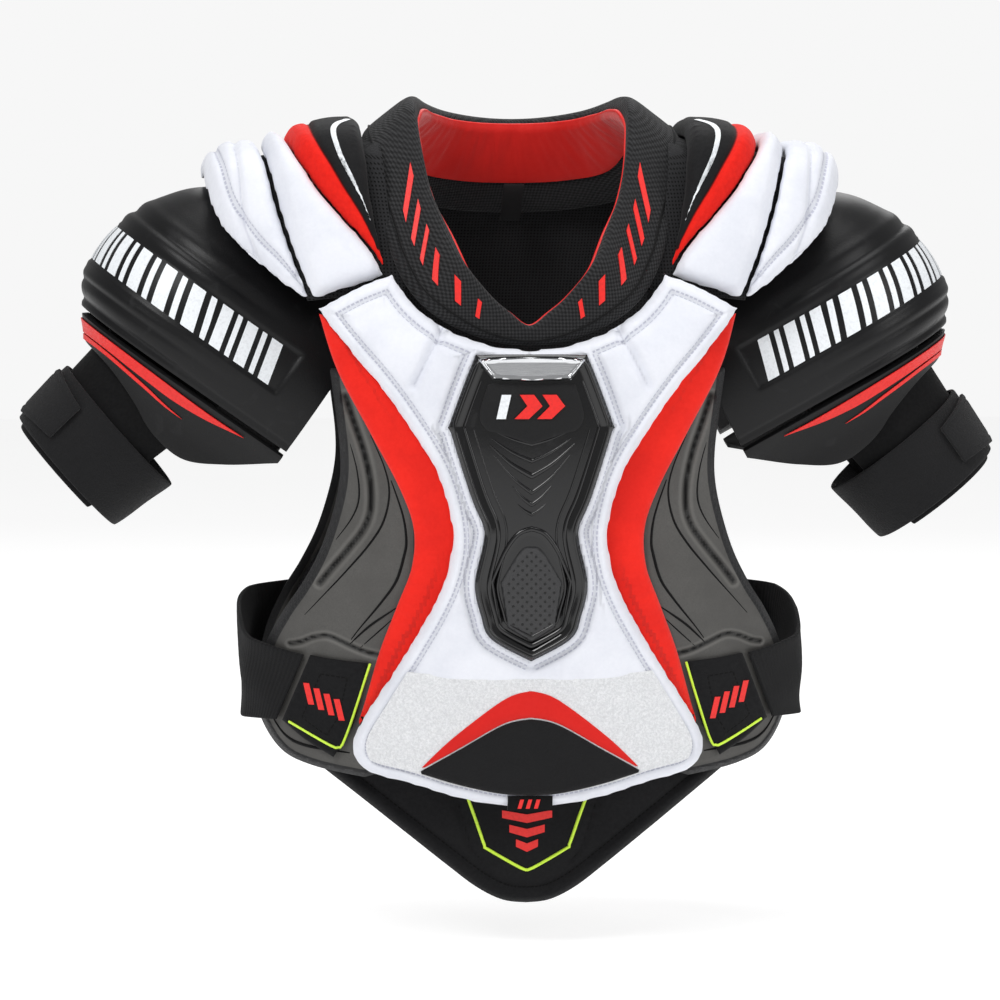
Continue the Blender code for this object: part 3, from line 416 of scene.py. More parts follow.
# remeshes the pad and swells it with cloth pressure; hold is 1 where it can't move
def puff(piece, voxel, pressure, most, hold):
    applyModifier(piece, "REMESH", mode="VOXEL", voxel_size=voxel, use_smooth_shade=True)
    applyModifier(piece, "SMOOTH", factor=0.5, iterations=4)
    rest = pointsOf(piece.data)
    held = hold(rest)
    pins = piece.vertex_groups.new(name="pins")
    for i in np.flatnonzero(held > 0.5):
        pins.add([int(i)], 1.0, "REPLACE")
    cloth = piece.modifiers.new("Cloth", "CLOTH")
    for key, value in {**padCloth, "uniform_pressure_force": pressure}.items():
        setattr(cloth.settings, key, value)
    cloth.settings.effector_weights.gravity = 0
    cloth.point_cache.frame_start, cloth.point_cache.frame_end = 1, padFrames
    for number in range(1, padFrames + 1):
        bpy.context.scene.frame_set(number)
    swollen = piece.evaluated_get(bpy.context.evaluated_depsgraph_get()).data
    shift = pointsOf(swollen) - rest
    size = np.maximum(np.linalg.norm(shift, axis=1), 1e-9)
    shift *= (np.minimum(size, most) / size * (1 - held))[:, None]
    piece.modifiers.remove(cloth)
    bpy.context.scene.frame_set(1)
    setPoints(piece.data, rest + shift)
    piece.vertex_groups.clear()
    applyModifier(piece, "SUBSURF", levels=1, render_levels=1)


# a grid primitive laid on rows of points; closed rows meet end to end
def paramSheet(name, rows, closed=False):
    rows = np.array(rows)
    down, across = rows.shape[:2]
    bpy.ops.object.select_all(action="DESELECT")
    bpy.ops.mesh.primitive_grid_add(x_subdivisions=across - 1, y_subdivisions=down - 1, size=2)
    piece = bpy.context.active_object
    piece.name = piece.data.name = name
    co = pointsOf(piece.data)
    i = np.rint((co[:, 0] + 1) / 2 * (across - 1)).astype(int)
    j = np.rint((co[:, 1] + 1) / 2 * (down - 1)).astype(int)
    setPoints(piece.data, rows[j, i])
    tag(piece, "across", i / (across - 1))
    tag(piece, "down", j / (down - 1))
    if closed:
        reshape(piece, weld)
    return piece


stripShares = (-1, -0.33, 0.33, 1)  # across a strip, from edge to edge


def strip(name, rows, wall):
    piece = paramSheet(name, rows)
    applyModifier(piece, "SOLIDIFY", thickness=wall, offset=0)
    reshape(piece, turnOut)
    return piece


# a tapering strip along a path in a surface's pattern; half gives its half width
def ribbon(name, path, half, lay, wall):
    along = np.gradient(path, axis=0)
    normal = np.stack([-along[:, 1], along[:, 0]], 1)
    normal /= np.linalg.norm(normal, axis=1)[:, None]
    return strip(name, [lay(path + normal * (half * share)[:, None]) for share in stripShares], wall)


# piping or a printed line: a round strip along points, converted to a mesh
def rope(name, places, radius, cyclic=False, resolution=3, taper=0.0):
    curve = bpy.data.curves.new(name, "CURVE")
    curve.dimensions = "3D"
    curve.bevel_depth = radius
    curve.bevel_resolution = resolution
    curve.use_fill_caps = True
    spline = curve.splines.new("POLY")
    spline.points.add(len(places) - 1)
    for k, (point, place) in enumerate(zip(spline.points, places)):
        point.co = (*place, 1)
        point.radius = 1 - taper * abs(2 * k / (len(places) - 1) - 1) ** 1.5
    spline.use_cyclic_u = cyclic
    piece = bpy.data.objects.new(name, curve)
    bpy.context.scene.collection.objects.link(piece)
    useOnly(piece)
    bpy.ops.object.convert(target="MESH")
    shadeSoft(bpy.context.active_object, 60)
    return bpy.context.active_object


# links or values for a node's inputs, by name, or as i0, i1 where inputs share a name
def plug(node, **sockets):
    for key, value in sockets.items():
        numbered = key[0] == "i" and key[1:].isdigit()
        socket = node.inputs[int(key[1:])] if numbered else node.inputs[key.replace("_", " ")]
        if isinstance(value, bpy.types.NodeSocket):
            node.id_data.links.new(value, socket)
        else:
            socket.default_value = value
    return node


def addNode(tree, kind, settings=None, **sockets):
    node = tree.nodes.new("ShaderNode" + kind)
    for key, value in (settings or {}).items():
        setattr(node, key, value)
    return plug(node, **sockets)


def calc(tree, operation, a, b=0.0, c=0.0):
    return addNode(tree, "Math", {"operation": operation}, i0=a, i1=b, i2=c).outputs[0]


def times(tree, a, b):
    return calc(tree, "MULTIPLY", a, b)


def timesPlus(tree, a, b, c):
    return calc(tree, "MULTIPLY_ADD", a, b, c)


# a smooth step from low to high as the value goes from start to end
def fade(tree, value, start, end, low=0.0, high=1.0):
    return addNode(tree, "MapRange", {"interpolation_type": "SMOOTHSTEP"}, Value=value,
                   From_Min=start, From_Max=end, To_Min=low, To_Max=high).outputs[0]


def tagged(tree, name):
    return addNode(tree, "Attribute", {"attribute_name": name}).outputs["Fac"]


# object coordinates, and flat ones that keep a weave even round the sides
def placeOn(tree):
    where = addNode(tree, "TexCoord").outputs["Object"]
    parts = addNode(tree, "SeparateXYZ", i0=where).outputs
    u = timesPlus(tree, parts[1], 0.62, parts[0])
    v = timesPlus(tree, parts[1], -0.41, parts[2])
    return where, u, v


def mixed(tree, share, a, b):
    return addNode(tree, "Mix", {"data_type": "RGBA"}, i0=share, i6=a, i7=b).outputs[2]


def grain(tree, where, scale, detail=3.0, rough=0.55):
    return addNode(tree, "TexNoise", Vector=where, Scale=scale, Detail=detail,
                   Roughness=rough).outputs[0]


def waveOf(tree, value, pitch):
    return calc(tree, "SINE", times(tree, value, 2 * math.pi / pitch))


# rows of thread: short dashes at each distance from an edge or a seam
def stitchRows(tree, away, run, offsets, pitch=0.0034, width=0.00042):
    beat = calc(tree, "ABSOLUTE", calc(tree, "SUBTRACT", calc(
        tree, "FRACT", calc(tree, "DIVIDE", run, pitch)), 0.5))
    dash = fade(tree, beat, 0.30, 0.38, 1, 0)
    rows = 0.0
    for offset in offsets:
        aside = calc(tree, "ABSOLUTE", calc(tree, "SUBTRACT", away, offset))
        row = times(tree, fade(tree, aside, width * 0.6, width * 1.5, 1, 0), dash)
        rows = calc(tree, "MAXIMUM", rows, row)
    return rows


def newFinish(name):
    finish = bpy.data.materials.new(name)
    finish.use_nodes = True
    tree = finish.node_tree
    return finish, tree, tree.nodes["Principled BSDF"]


def bumped(tree, shader, height, strength=0.5, distance=0.001):
    bump = addNode(tree, "Bump", Height=height, Strength=strength, Distance=distance)
    plug(shader, Normal=bump.outputs[0])


# sunk: how strongly painted shade darkens the groove beside a sewn edge
clothKinds = {
    "whiteCloth": {"colour": (0.80, 0.815, 0.87), "deep": (0.60, 0.62, 0.69), "rough": 0.72,
                   "pitch": 0.00085, "weave": 0.30, "sheen": 0.25, "thread": (0.50, 0.51, 0.60),
                   "rim": (0.0080, 0.0106), "seam": (), "sunk": 0.24},
    "redCloth": {"colour": (0.86, 0.018, 0.008), "deep": (0.58, 0.006, 0.004), "rough": 0.62,
                 "pitch": 0.00075, "weave": 0.28, "sheen": 0.30, "thread": (0.50, 0.01, 0.01),
                 "rim": (), "seam": (), "sunk": 0.0},
    "blackCloth": {"colour": (0.0095, 0.0095, 0.0102), "deep": (0.004, 0.004, 0.005), "rough": 0.82,
                   "pitch": 0.0010, "weave": 0.40, "sheen": 0.04, "thread": (0.002, 0.002, 0.002),
                   "rim": (0.0112,), "seam": (0.0,), "sunk": 0.0},
    "blackPad": {"colour": (0.0105, 0.0105, 0.0112), "deep": (0.005, 0.005, 0.006), "rough": 0.80,
                 "pitch": 0.0012, "weave": 0.42, "sheen": 0.05, "thread": (0.004, 0.004, 0.004),
                 "rim": (0.0050,), "seam": (), "sunk": 0.0},
}


def clothFinish(name):
    kind = clothKinds[name]
    finish, tree, shader = newFinish(name)
    where, u, v = placeOn(tree)
    weave = times(tree, waveOf(tree, u, kind["pitch"]), waveOf(tree, v, kind["pitch"]))
    blotch = grain(tree, where, 26.0, 4.0)
    fine = grain(tree, where, 420.0, 2.0)
    shade = timesPlus(tree, fade(tree, blotch, 0.38, 0.68), 0.30,
                 times(tree, fine, 0.28))
    base = mixed(tree, shade, (*kind["colour"], 1), (*kind["deep"], 1))
    rows = stitchRows(tree, tagged(tree, "rim"), tagged(tree, "run"), kind["rim"])
    seams = stitchRows(tree, tagged(tree, "seam"), tagged(tree, "seamRun"), kind["seam"])
    thread = calc(tree, "MAXIMUM", rows, seams)
    # painted shade: a dark line along the sewn folds, in the thread's colour
    creaseShade = fade(tree, tagged(tree, "seam"), 0.0, 0.0011, 0.55, 0.0)
    # painted shade: darker in the sewn groove beside the edge, as strong as sunk
    sunk = times(tree, fade(tree, tagged(tree, "rim"), 0.0066, 0.0090, 0, kind["sunk"]),
                fade(tree, tagged(tree, "rim"), 0.0096, 0.0124, 1, 0))
    base = mixed(tree, sunk, base, (*(c * 0.72 for c in kind["deep"]), 1))
    base = mixed(tree, calc(tree, "MAXIMUM", thread, creaseShade), base, (*kind["thread"], 1))
    rough = fade(tree, fine, 0.2, 0.8, kind["rough"] - 0.06, kind["rough"] + 0.08)
    plug(shader, Base_Color=base, Roughness=rough, Sheen_Weight=kind["sheen"], Sheen_Roughness=0.45,
         Specular_IOR_Level=0.15)
    # small puckers run off the stitch rows
    pucker = times(tree, waveOf(tree, tagged(tree, "run"), 0.0068),
                  fade(tree, tagged(tree, "rim"), 0.010, 0.019, 1, 0))
    pulled = times(tree, waveOf(tree, tagged(tree, "seamRun"), 0.0072),
                  fade(tree, tagged(tree, "seam"), 0.001, 0.010, 1, 0))
    height = timesPlus(tree, weave, kind["weave"] * 0.16, times(tree, fine, 0.10))
    height = timesPlus(tree, calc(tree, "ADD", pucker, pulled), 0.13, height)
    height = timesPlus(tree, blotch, 0.5, height)
    height = timesPlus(tree, thread, -0.45, height)
    bumped(tree, shader, height, 0.55, 0.0012)
    return finish


def foamFinish():
    finish, tree, shader = newFinish("greyFoam")
    where, u, v = placeOn(tree)
    speck = grain(tree, where, 900.0, 2.0)
    blotch = grain(tree, where, 30.0, 4.0)
    base = mixed(tree, speck, (0.046, 0.0445, 0.042, 1), (0.100, 0.097, 0.091, 1))
    base = mixed(tree, fade(tree, blotch, 0.35, 0.75, 0, 0.45), base, (0.044, 0.042, 0.039, 1))
    # painted shade: the moulded grooves darken almost to black
    groove = fade(tree, tagged(tree, "seam"), 0.0004, 0.0016, 1, 0)
    # painted highlight: a paler band along the raised lip beside each groove
    lip = times(tree, fade(tree, tagged(tree, "seam"), 0.0015, 0.0022, 0, 1),
               fade(tree, tagged(tree, "seam"), 0.0024, 0.0040, 1, 0))
    base = mixed(tree, times(tree, lip, 0.20), base, (0.26, 0.25, 0.235, 1))
    base = mixed(tree, times(tree, groove, 0.92), base, (0.006, 0.006, 0.006, 1))
    binding = fade(tree, tagged(tree, "rim"), 0.0052, 0.0058, 1, 0)
    base = mixed(tree, binding, base, (0.010, 0.010, 0.011, 1))
    plug(shader, Base_Color=base, Roughness=fade(tree, speck, 0.3, 0.7, 0.50, 0.68),
         Specular_IOR_Level=0.4)
    knit = times(tree, waveOf(tree, u, 0.0011), waveOf(tree, v, 0.0011))
    height = timesPlus(tree, times(tree, knit, binding), 0.25,
                  times(tree, speck, 0.35))
    bumped(tree, shader, height, 0.5, 0.0008)
    return finish


def plasticFinish(name, colour, rough, specks, coat=0.0, texture=0.25, shine=0.20):
    finish, tree, shader = newFinish(name)
    where = placeOn(tree)[0]
    fine = grain(tree, where, specks, 3.0)
    blotch = grain(tree, where, 14.0, 5.0)
    scuff = fade(tree, addNode(tree, "TexNoise", Vector=where, Scale=60.0, Detail=6.0,
                               Distortion=1.4).outputs[0], 0.60, 0.72)
    base = mixed(tree, times(tree, scuff, 0.28), (*colour, 1),
                 tuple(min(1, c * 2.2 + 0.006) for c in colour) + (1,))
    worn = timesPlus(tree, blotch, 0.10, times(tree, scuff, 0.10))
    plug(shader, Base_Color=base, Roughness=calc(tree, "ADD", worn, rough - 0.05), Coat_Weight=coat,
         Specular_IOR_Level=shine, Coat_Roughness=0.08)
    bumped(tree, shader, fine, texture, 0.0004)
    return finish


def chromeFinish():
    finish, tree, shader = newFinish("chrome")
    where = placeOn(tree)[0]
    stretched = addNode(tree, "Mapping", Vector=where, Scale=(60.0, 60.0, 2600.0)).outputs[0]
    brushed = grain(tree, stretched, 1.0, 3.0)
    smudge = grain(tree, where, 70.0, 4.0)
    base = mixed(tree, smudge, (0.80, 0.81, 0.83, 1), (0.58, 0.59, 0.61, 1))
    rough = timesPlus(tree, brushed, 0.16, times(tree, smudge, 0.10))
    plug(shader, Base_Color=base, Metallic=1.0, Roughness=rough)
    bumped(tree, shader, brushed, 0.03, 0.0002)
    return finish


# collar knit: small raised lozenges in staggered rows
def knitFinish():
    finish, tree, shader = newFinish("blackKnit")
    where, u, v = placeOn(tree)
    a = waveOf(tree, calc(tree, "ADD", u, v), 0.0046)
    b = waveOf(tree, calc(tree, "SUBTRACT", u, v), 0.0046)
    cells = times(tree, a, b)
    fine = grain(tree, where, 500.0, 2.0)
    fuzz = grain(tree, where, 38.0, 5.0)
    # painted highlight and shade: the raised lozenges paler, the hollows between them darker
    lit = times(tree, fade(tree, cells, -0.5, 0.6), 0.75)
    base = mixed(tree, lit, (0.004, 0.004, 0.0045, 1), (0.030, 0.030, 0.032, 1))
    base = mixed(tree, fade(tree, fuzz, 0.45, 0.8, 0, 0.4), base, (0.012, 0.012, 0.014, 1))
    plug(shader, Base_Color=base, Roughness=fade(tree, fine, 0.2, 0.8, 0.72, 0.92),
         Sheen_Weight=0.06, Sheen_Roughness=0.5, Specular_IOR_Level=0.25)
    bumped(tree, shader, timesPlus(tree, cells, 0.5, fine), 0.55, 0.0009)
    return finish


# woven elastic ribs along the band, or brushed loop fabric
def elasticFinish(name, fuzz=0.0):
    finish, tree, shader = newFinish(name)
    where = placeOn(tree)[0]
    ribs = waveOf(tree, tagged(tree, "down"), 1 / 62)
    picks = waveOf(tree, tagged(tree, "across"), 1 / 240)
    pile = grain(tree, where, 700.0, 4.0, 0.75)
    worn = grain(tree, where, 34.0, 5.0)
    base = mixed(tree, times(tree, pile, 0.9), (0.0015, 0.0015, 0.002, 1),
                 (0.016, 0.016, 0.017, 1))
    base = mixed(tree, fade(tree, worn, 0.45, 0.8, 0, 0.4), base, (0.010, 0.010, 0.011, 1))
    plug(shader, Base_Color=base, Roughness=fade(tree, pile, 0.2, 0.8, 0.82, 0.98),
         Sheen_Weight=0.04 + 0.03 * fuzz, Sheen_Roughness=0.6, Specular_IOR_Level=0.15)
    woven = timesPlus(tree, ribs, 0.30 * (1 - fuzz), times(tree, picks, 0.18 * (1 - fuzz)))
    bumped(tree, shader, timesPlus(tree, pile, 0.5 + fuzz, woven), 0.6, 0.0010)
    return finish


# open mesh lining: staggered round holes
def meshFinish():
    finish, tree, shader = newFinish("meshLining")
    where, u, v = placeOn(tree)
    a = waveOf(tree, calc(tree, "ADD", u, v), 0.0046)
    b = waveOf(tree, calc(tree, "SUBTRACT", u, v), 0.0046)
    holes = fade(tree, times(tree, a, b), 0.30, 0.55)
    thread = grain(tree, where, 600.0, 2.0)
    base = mixed(tree, thread, (0.010, 0.010, 0.011, 1), (0.028, 0.028, 0.030, 1))
    # painted shade: the holes are darkened almost to black
    base = mixed(tree, holes, base, (0.0015, 0.0015, 0.0015, 1))
    plug(shader, Base_Color=base, Roughness=fade(tree, thread, 0.2, 0.8, 0.75, 0.95),
         Specular_IOR_Level=0.2)
    bumped(tree, shader, timesPlus(tree, holes, -0.9, thread), 0.6, 0.0010)
    return finish


# white brushed fabric that hook tabs grip
def loopFinish():
    finish, tree, shader = newFinish("whiteLoop")
    where = placeOn(tree)[0]
    pile = grain(tree, where, 620.0, 5.0, 0.8)
    tuft = grain(tree, where, 150.0, 4.0, 0.7)
    base = mixed(tree, fade(tree, pile, 0.35, 0.7), (0.63, 0.64, 0.66, 1), (0.86, 0.87, 0.89, 1))
    base = mixed(tree, fade(tree, tuft, 0.40, 0.75, 0, 0.35), base, (0.66, 0.67, 0.69, 1))
    plug(shader, Base_Color=base, Roughness=fade(tree, pile, 0.2, 0.8, 0.86, 1.0), Sheen_Weight=0.4,
         Sheen_Roughness=0.6, Specular_IOR_Level=0.1)
    bumped(tree, shader, timesPlus(tree, tuft, 0.8, pile), 0.7, 0.0012)
    return finish


# heat-sealed print and woven labels, worn a little along the threads
def printFinish(name, colour, shine=0.45):
    finish, tree, shader = newFinish(name)
    where, u, v = placeOn(tree)
    fine = grain(tree, where, 480.0, 3.0)
    weave = times(tree, waveOf(tree, u, 0.0010), waveOf(tree, v, 0.0010))
    base = mixed(tree, fade(tree, fine, 0.42, 0.75, 0, 0.35), (*colour, 1),
                 tuple(c * 0.62 for c in colour) + (1,))
    plug(shader, Base_Color=base, Roughness=fade(tree, fine, 0.2, 0.8, shine - 0.06, shine + 0.10))
    bumped(tree, shader, timesPlus(tree, weave, 0.3, fine), 0.25, 0.0005)
    return finish


# matte rubber with staggered rows of small vent holes
def insertFinish():
    finish, tree, shader = newFinish("ventRubber")
    where = placeOn(tree)[0]
    turned = addNode(tree, "Mapping", Vector=where, Rotation=(0, math.radians(45), 0),
                     Scale=(235.0, 1.0, 235.0)).outputs[0]
    parts = addNode(tree, "SeparateXYZ", i0=turned).outputs
    flat = addNode(tree, "CombineXYZ", i0=parts[0], i1=parts[2], i2=0.0).outputs[0]
    dots = addNode(tree, "TexVoronoi", {"voronoi_dimensions": "2D"}, Vector=flat, Scale=1.0,
                   Randomness=0.0).outputs["Distance"]
    inner = fade(tree, tagged(tree, "rim"), 0.0030, 0.0036)
    hole = times(tree, fade(tree, dots, 0.16, 0.24, 1, 0), inner)
    fine = grain(tree, where, 700.0, 2.0)
    base = mixed(tree, fine, (0.020, 0.020, 0.021, 1), (0.034, 0.034, 0.036, 1))
    # painted shade: the vent holes are darkened almost to black
    base = mixed(tree, hole, base, (0.001, 0.001, 0.001, 1))
    plug(shader, Base_Color=base, Roughness=fade(tree, fine, 0.2, 0.8, 0.50, 0.66))
    bumped(tree, shader, timesPlus(tree, hole, -3.0, fine), 0.6, 0.0008)
    return finish


finishes = {name: clothFinish(name) for name in clothKinds}
finishes.update({
    "greyFoam": foamFinish(),
    "capPlastic": plasticFinish("capPlastic", (0.0062, 0.0062, 0.0068), 0.36, 900.0, 0.0, 0.30, 0.22),
    "glossPlastic": plasticFinish("glossPlastic", (0.003, 0.003, 0.0035), 0.12, 300.0, 0.5, 0.05, 0.30),
    "mattPlastic": plasticFinish("mattPlastic", (0.010, 0.010, 0.0105), 0.44, 1400.0, 0.0, 0.55),
    "chrome": chromeFinish(),
    "blackKnit": knitFinish(),
    "blackElastic": elasticFinish("blackElastic"),
    "blackLoop": elasticFinish("blackLoop", 1.0),
    "meshLining": meshFinish(),
    "whiteLoop": loopFinish(),
    "redPrint": printFinish("redPrint", (0.80, 0.012, 0.008)),
    "whitePrint": printFinish("whitePrint", (0.82, 0.85, 0.88), 0.30),
    "neonPrint": printFinish("neonPrint", (0.62, 0.90, 0.05), 0.40),
    "ventRubber": insertFinish(),
})
print("finishes made")


# gives a piece its finish, its body and the frame nodes it stands for
def wear(piece, finish, body=None, nodes=(), pad=None):
    piece.data.materials.clear()
    piece.data.materials.append(finishes[finish])
    if nodes:
        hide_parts(*nodes)
    if body:
        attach(piece, body)
    return piece


chest = {"cell": 0.0030, "voxel": 0.0038, "pressure": 4.0, "most": 0.0026, "crown": 0.0020,
         "groove": 0.0030, "fold": 0.0046}
chestLine = wholeOutline([
    (0.000, -0.1065, "corner"), (0.022, -0.1045), (0.044, -0.0975), (0.064, -0.0870),
    (0.080, -0.0730), (0.091, -0.0565, "corner"), (0.116, -0.0660), (0.142, -0.0800, "corner"),
    (0.1265, -0.1000), (0.100, -0.132), (0.080, -0.160), (0.062, -0.191), (0.053, -0.225),
    (0.055, -0.252), (0.066, -0.279), (0.0877, -0.3164), (0.106, -0.345), (0.1175, -0.366),
    (0.1175, -0.382), (0.107, -0.392), (0.083, -0.398), (0.055, -0.4065), (0.022, -0.4135),
    (0.000, -0.4145),
])
plateLine = wholeOutline([
    (0.000, -0.1095, "corner"), (0.0330, -0.1100), (0.0385, -0.1140), (0.0540, -0.1550),
    (0.0535, -0.1610), (0.0400, -0.2040), (0.0318, -0.2240), (0.0322, -0.2360),
    (0.0375, -0.2620), (0.0335, -0.2830), (0.0265, -0.2990), (0.0000, -0.3140, "corner"),
], 0.002)
foldLines = [[(s * 0.0570, -0.0905), (s * 0.0665, -0.1075), (s * 0.0780, -0.1300)]
             for s in sides.values()]


def beyondPlate(uv):
    return beyond(uv, plateLine)


def chestOuter(uv):
    rim = measured(uv, chestLine)[0]
    wall = chestWall * (0.40 + 0.60 * ease(rim, 0, 0.006))
    swell = ease(rim, 0.010, 0.034) * ease(beyondPlate(uv), 0.004, 0.018)
    return chestBase(uv[:, 1]) + wall + chest["crown"] * swell * ease(uv[:, 1], -0.335, -0.31)


def makeChest():
    piece = cutPattern("chestPanel", chestLine, chest["cell"])
    raisePad(piece, onFront, lambda uv: chestBase(uv[:, 1]), chestOuter)

    def hold(co):
        uv = co[:, [0, 2]]
        inner = -co[:, 1] < formDepth(uv[:, 0], uv[:, 1], chestBase(uv[:, 1]) + 0.004)
        return np.where(inner, 1, np.maximum(ease(-beyondPlate(uv), -0.006, -0.001),
                                             ease(-uv[:, 1], 0.322, 0.332)))

    puff(piece, chest["voxel"], chest["pressure"], chest["most"], hold)
    co = pointsOf(piece.data)
    uv = co[:, [0, 2]]
    outer = -co[:, 1] > formDepth(uv[:, 0], uv[:, 1], chestBase(uv[:, 1]) + 0.005)
    rim, seam = markRims(piece, uv, chestLine, foldLines)
    away, along, _ = measured(uv, plateLine)
    around = np.where(beyondPlate(uv) > 0, away + 0.0038, noRim)
    nearPlate = around < rim
    run = np.where(nearPlate, along, measured(uv, chestLine)[1])
    rim = np.minimum(rim, around)
    tag(piece, "rim", np.where(outer, rim, noRim))
    tag(piece, "run", run)
    carve = chest["groove"] * hump(rim, *edgeFold) + chest["fold"] * hump(seam, 0, 0.0030)
    co -= normalsOf(piece.data) * (carve * outer)[:, None]
    setPoints(piece.data, co)
    shadeSoft(piece, 70)
    wear(piece, "whiteCloth", "front", ["chest_panel"], 0.7)
    loop = wholeOutline([
        (0.000, -0.3262, "corner"), (0.040, -0.3245), (0.0820, -0.3215, "corner"),
        (0.0945, -0.3420), (0.1085, -0.3665), (0.1085, -0.3790), (0.1030, -0.3835),
        (0.0800, -0.3890), (0.0545, -0.3970), (0.022, -0.4035), (0.000, -0.4045)])
    patch = layPad("hemLoopPanel", loop, 0.0025, onFront, lambda uv: chestTop(uv[:, 1]) - 0.004,
                   lambda uv: chestTop(uv[:, 1]) + 0.0004 + 0.0003 * ease(
                       measured(uv, loop)[0], 0, 0.002), 40)
    wear(patch, "whiteLoop", "front")


makeChest()
print("chest panel sewn")


redOuter = [(0.1400, -0.0835, "corner"), (0.128, -0.121), (0.106, -0.163), (0.087, -0.199),
            (0.0775, -0.226), (0.0785, -0.252), (0.088, -0.278), (0.100, -0.310),
            (0.110, -0.345), (0.1155, -0.362, "corner")]
redInner = [(0.1155, -0.362, "corner"), (0.085, -0.325), (0.056, -0.280), (0.043, -0.252),
            (0.041, -0.225), (0.050, -0.190), (0.070, -0.155), (0.095, -0.120),
            (0.120, -0.088, "corner"), (0.1400, -0.0835, "corner")]
ribOuter = [(0.133, -0.120, "corner"), (0.1290, -0.150), (0.1262, -0.175), (0.1265, -0.195),
            (0.131, -0.217), (0.140, -0.244), (0.152, -0.267), (0.165, -0.287), (0.177, -0.312),
            (0.1825, -0.342), (0.180, -0.362), (0.166, -0.382), (0.1445, -0.391),
            (0.110, -0.397, "corner")]
ribInner = [(0.110, -0.397, "corner"), (0.072, -0.385, "corner"), (0.072, -0.120, "corner"),
            (0.133, -0.120, "corner")]
carvedFrom = 0.0011  # thinner grooves are laid on as dark ropes, painted shade in place of a carved groove
# moulded grooves: half width, depth, line from the top down
ribGrooves = [
    (0.0016, 0.0034, [(0.1225, -0.1380), (0.1165, -0.1566), (0.1105, -0.1746), (0.1062, -0.1947),
                      (0.1058, -0.2129), (0.1100, -0.2264), (0.1200, -0.2402), (0.1315, -0.2541),
                      (0.1400, -0.2650)]),
    (0.0007, 0.0014, [(0.1060, -0.1640), (0.0970, -0.1850), (0.0935, -0.2026), (0.0972, -0.2215),
                      (0.1065, -0.2372), (0.1220, -0.2558), (0.1378, -0.2734), (0.1500, -0.2870)]),
    (0.0009, 0.0018, [(0.0923, -0.1945), (0.0845, -0.2180), (0.0822, -0.2348), (0.0838, -0.2456),
                      (0.0888, -0.2619), (0.0980, -0.2756), (0.1130, -0.2943), (0.1190, -0.3025)]),
    (0.0012, 0.0022, [(0.1600, -0.3075), (0.1533, -0.3061), (0.1445, -0.3021), (0.1351, -0.3005),
                      (0.1264, -0.3036), (0.1197, -0.3067), (0.1086, -0.3109), (0.0960, -0.3135)]),
    (0.0008, 0.0016, [(0.1197, -0.3054), (0.1063, -0.2927), (0.0883, -0.2800)]),
    (0.0005, 0.0010, [(0.1130, -0.3079), (0.1023, -0.2981), (0.0896, -0.2863)]),
    (0.0006, 0.0012, [(0.1195, -0.1700), (0.1149, -0.1881), (0.1136, -0.2063), (0.1183, -0.2199),
                      (0.1290, -0.2350)]),
    (0.0010, 0.0018, [(0.1738, -0.3560), (0.1640, -0.3700), (0.1500, -0.3765), (0.1200, -0.3800)]),
]


def makeRibs():
    outline = joined(ribOuter, ribInner)
    lines = [(w, d, curveThrough(line)) for w, d, line in ribGrooves]

    def carved(uv):
        rim = measured(uv, outline)[0]
        wall = ribWall * (0.45 + 0.55 * ease(rim, 0, 0.004)) - 0.0010 * hump(rim, 0.0060, 0.0010)
        swell = 0.0010 * ease(rim, 0.008, 0.030)
        for width, depth, line in lines:
            if width < carvedFrom:
                continue
            away = measured(uv, line, closed=False)[0]
            wall = wall - depth * hump(away, 0, width * 1.25) + 0.0006 * hump(away, width * 3.2, 0.0020)
        return linerWall + gap + wall + swell

    for face, lay in (("", onFront), ("back", onBack)):
        piece = cutPattern("ribFoamLeft", outline, 0.0019)
        raisePad(piece, lay, level(linerWall + gap), carved)
        uv = flatPlace(piece)
        markRims(piece, uv, outline)
        reach = np.full(len(uv), noSeam)
        for width, _, line in lines:
            if width < carvedFrom:
                continue
            reach = np.minimum(reach, measured(uv, line, closed=False)[0] * 0.0016 / (width * 1.5))
        tag(piece, "seam", reach)
        shadeSoft(piece, 60)
        twin = mirrored(piece, "ribFoamRight")
        for k, (width, _, line) in enumerate(lines):
            if width >= carvedFrom:
                continue
            # painted shade: a thin groove is shown as a dark rope laid on the foam
            cut = rope(f"{face or 'front'}RibLineLeft{k}", lay(line, carved(line) - 0.0002),
                       width * 1.2, resolution=1, taper=0.6)
            other = mirrored(cut, f"{face or 'front'}RibLineRight{k}")
            for strand in (cut, other):
                wear(strand, "blackCloth", "yoke" if face else "front")
        for side, pad in (("left", piece), ("right", twin)):
            pad.name = pad.data.name = f"{face or 'front'}RibFoam{side.title()}"
            node = f"{face}_rib_panel_{side}" if face else f"rib_panel_{side}"
            wear(pad, "greyFoam", "yoke" if face else "front", [node], 0.9)


def makeRedSides():
    outline = joined(redOuter, redInner)

    def outer(uv):
        rim = measured(uv, outline)[0]
        return redBase(uv[:, 1]) + redWall * (0.5 + 0.5 * ease(rim, 0, 0.003)) + 0.0004 * ease(
            rim, 0.003, 0.012)

    piece = layPad("redSideLeft", outline, 0.0024, onFront, lambda uv: redBase(uv[:, 1]), outer)
    markRims(piece, flatPlace(piece), outline)
    for side, cloth in (("left", piece), ("right", mirrored(piece, "redSideRight"))):
        wear(cloth, "redCloth", "front", [f"red_side_panel_{side}"], 0.5)


makeRibs()
makeRedSides()
print("ribs and red sides made")


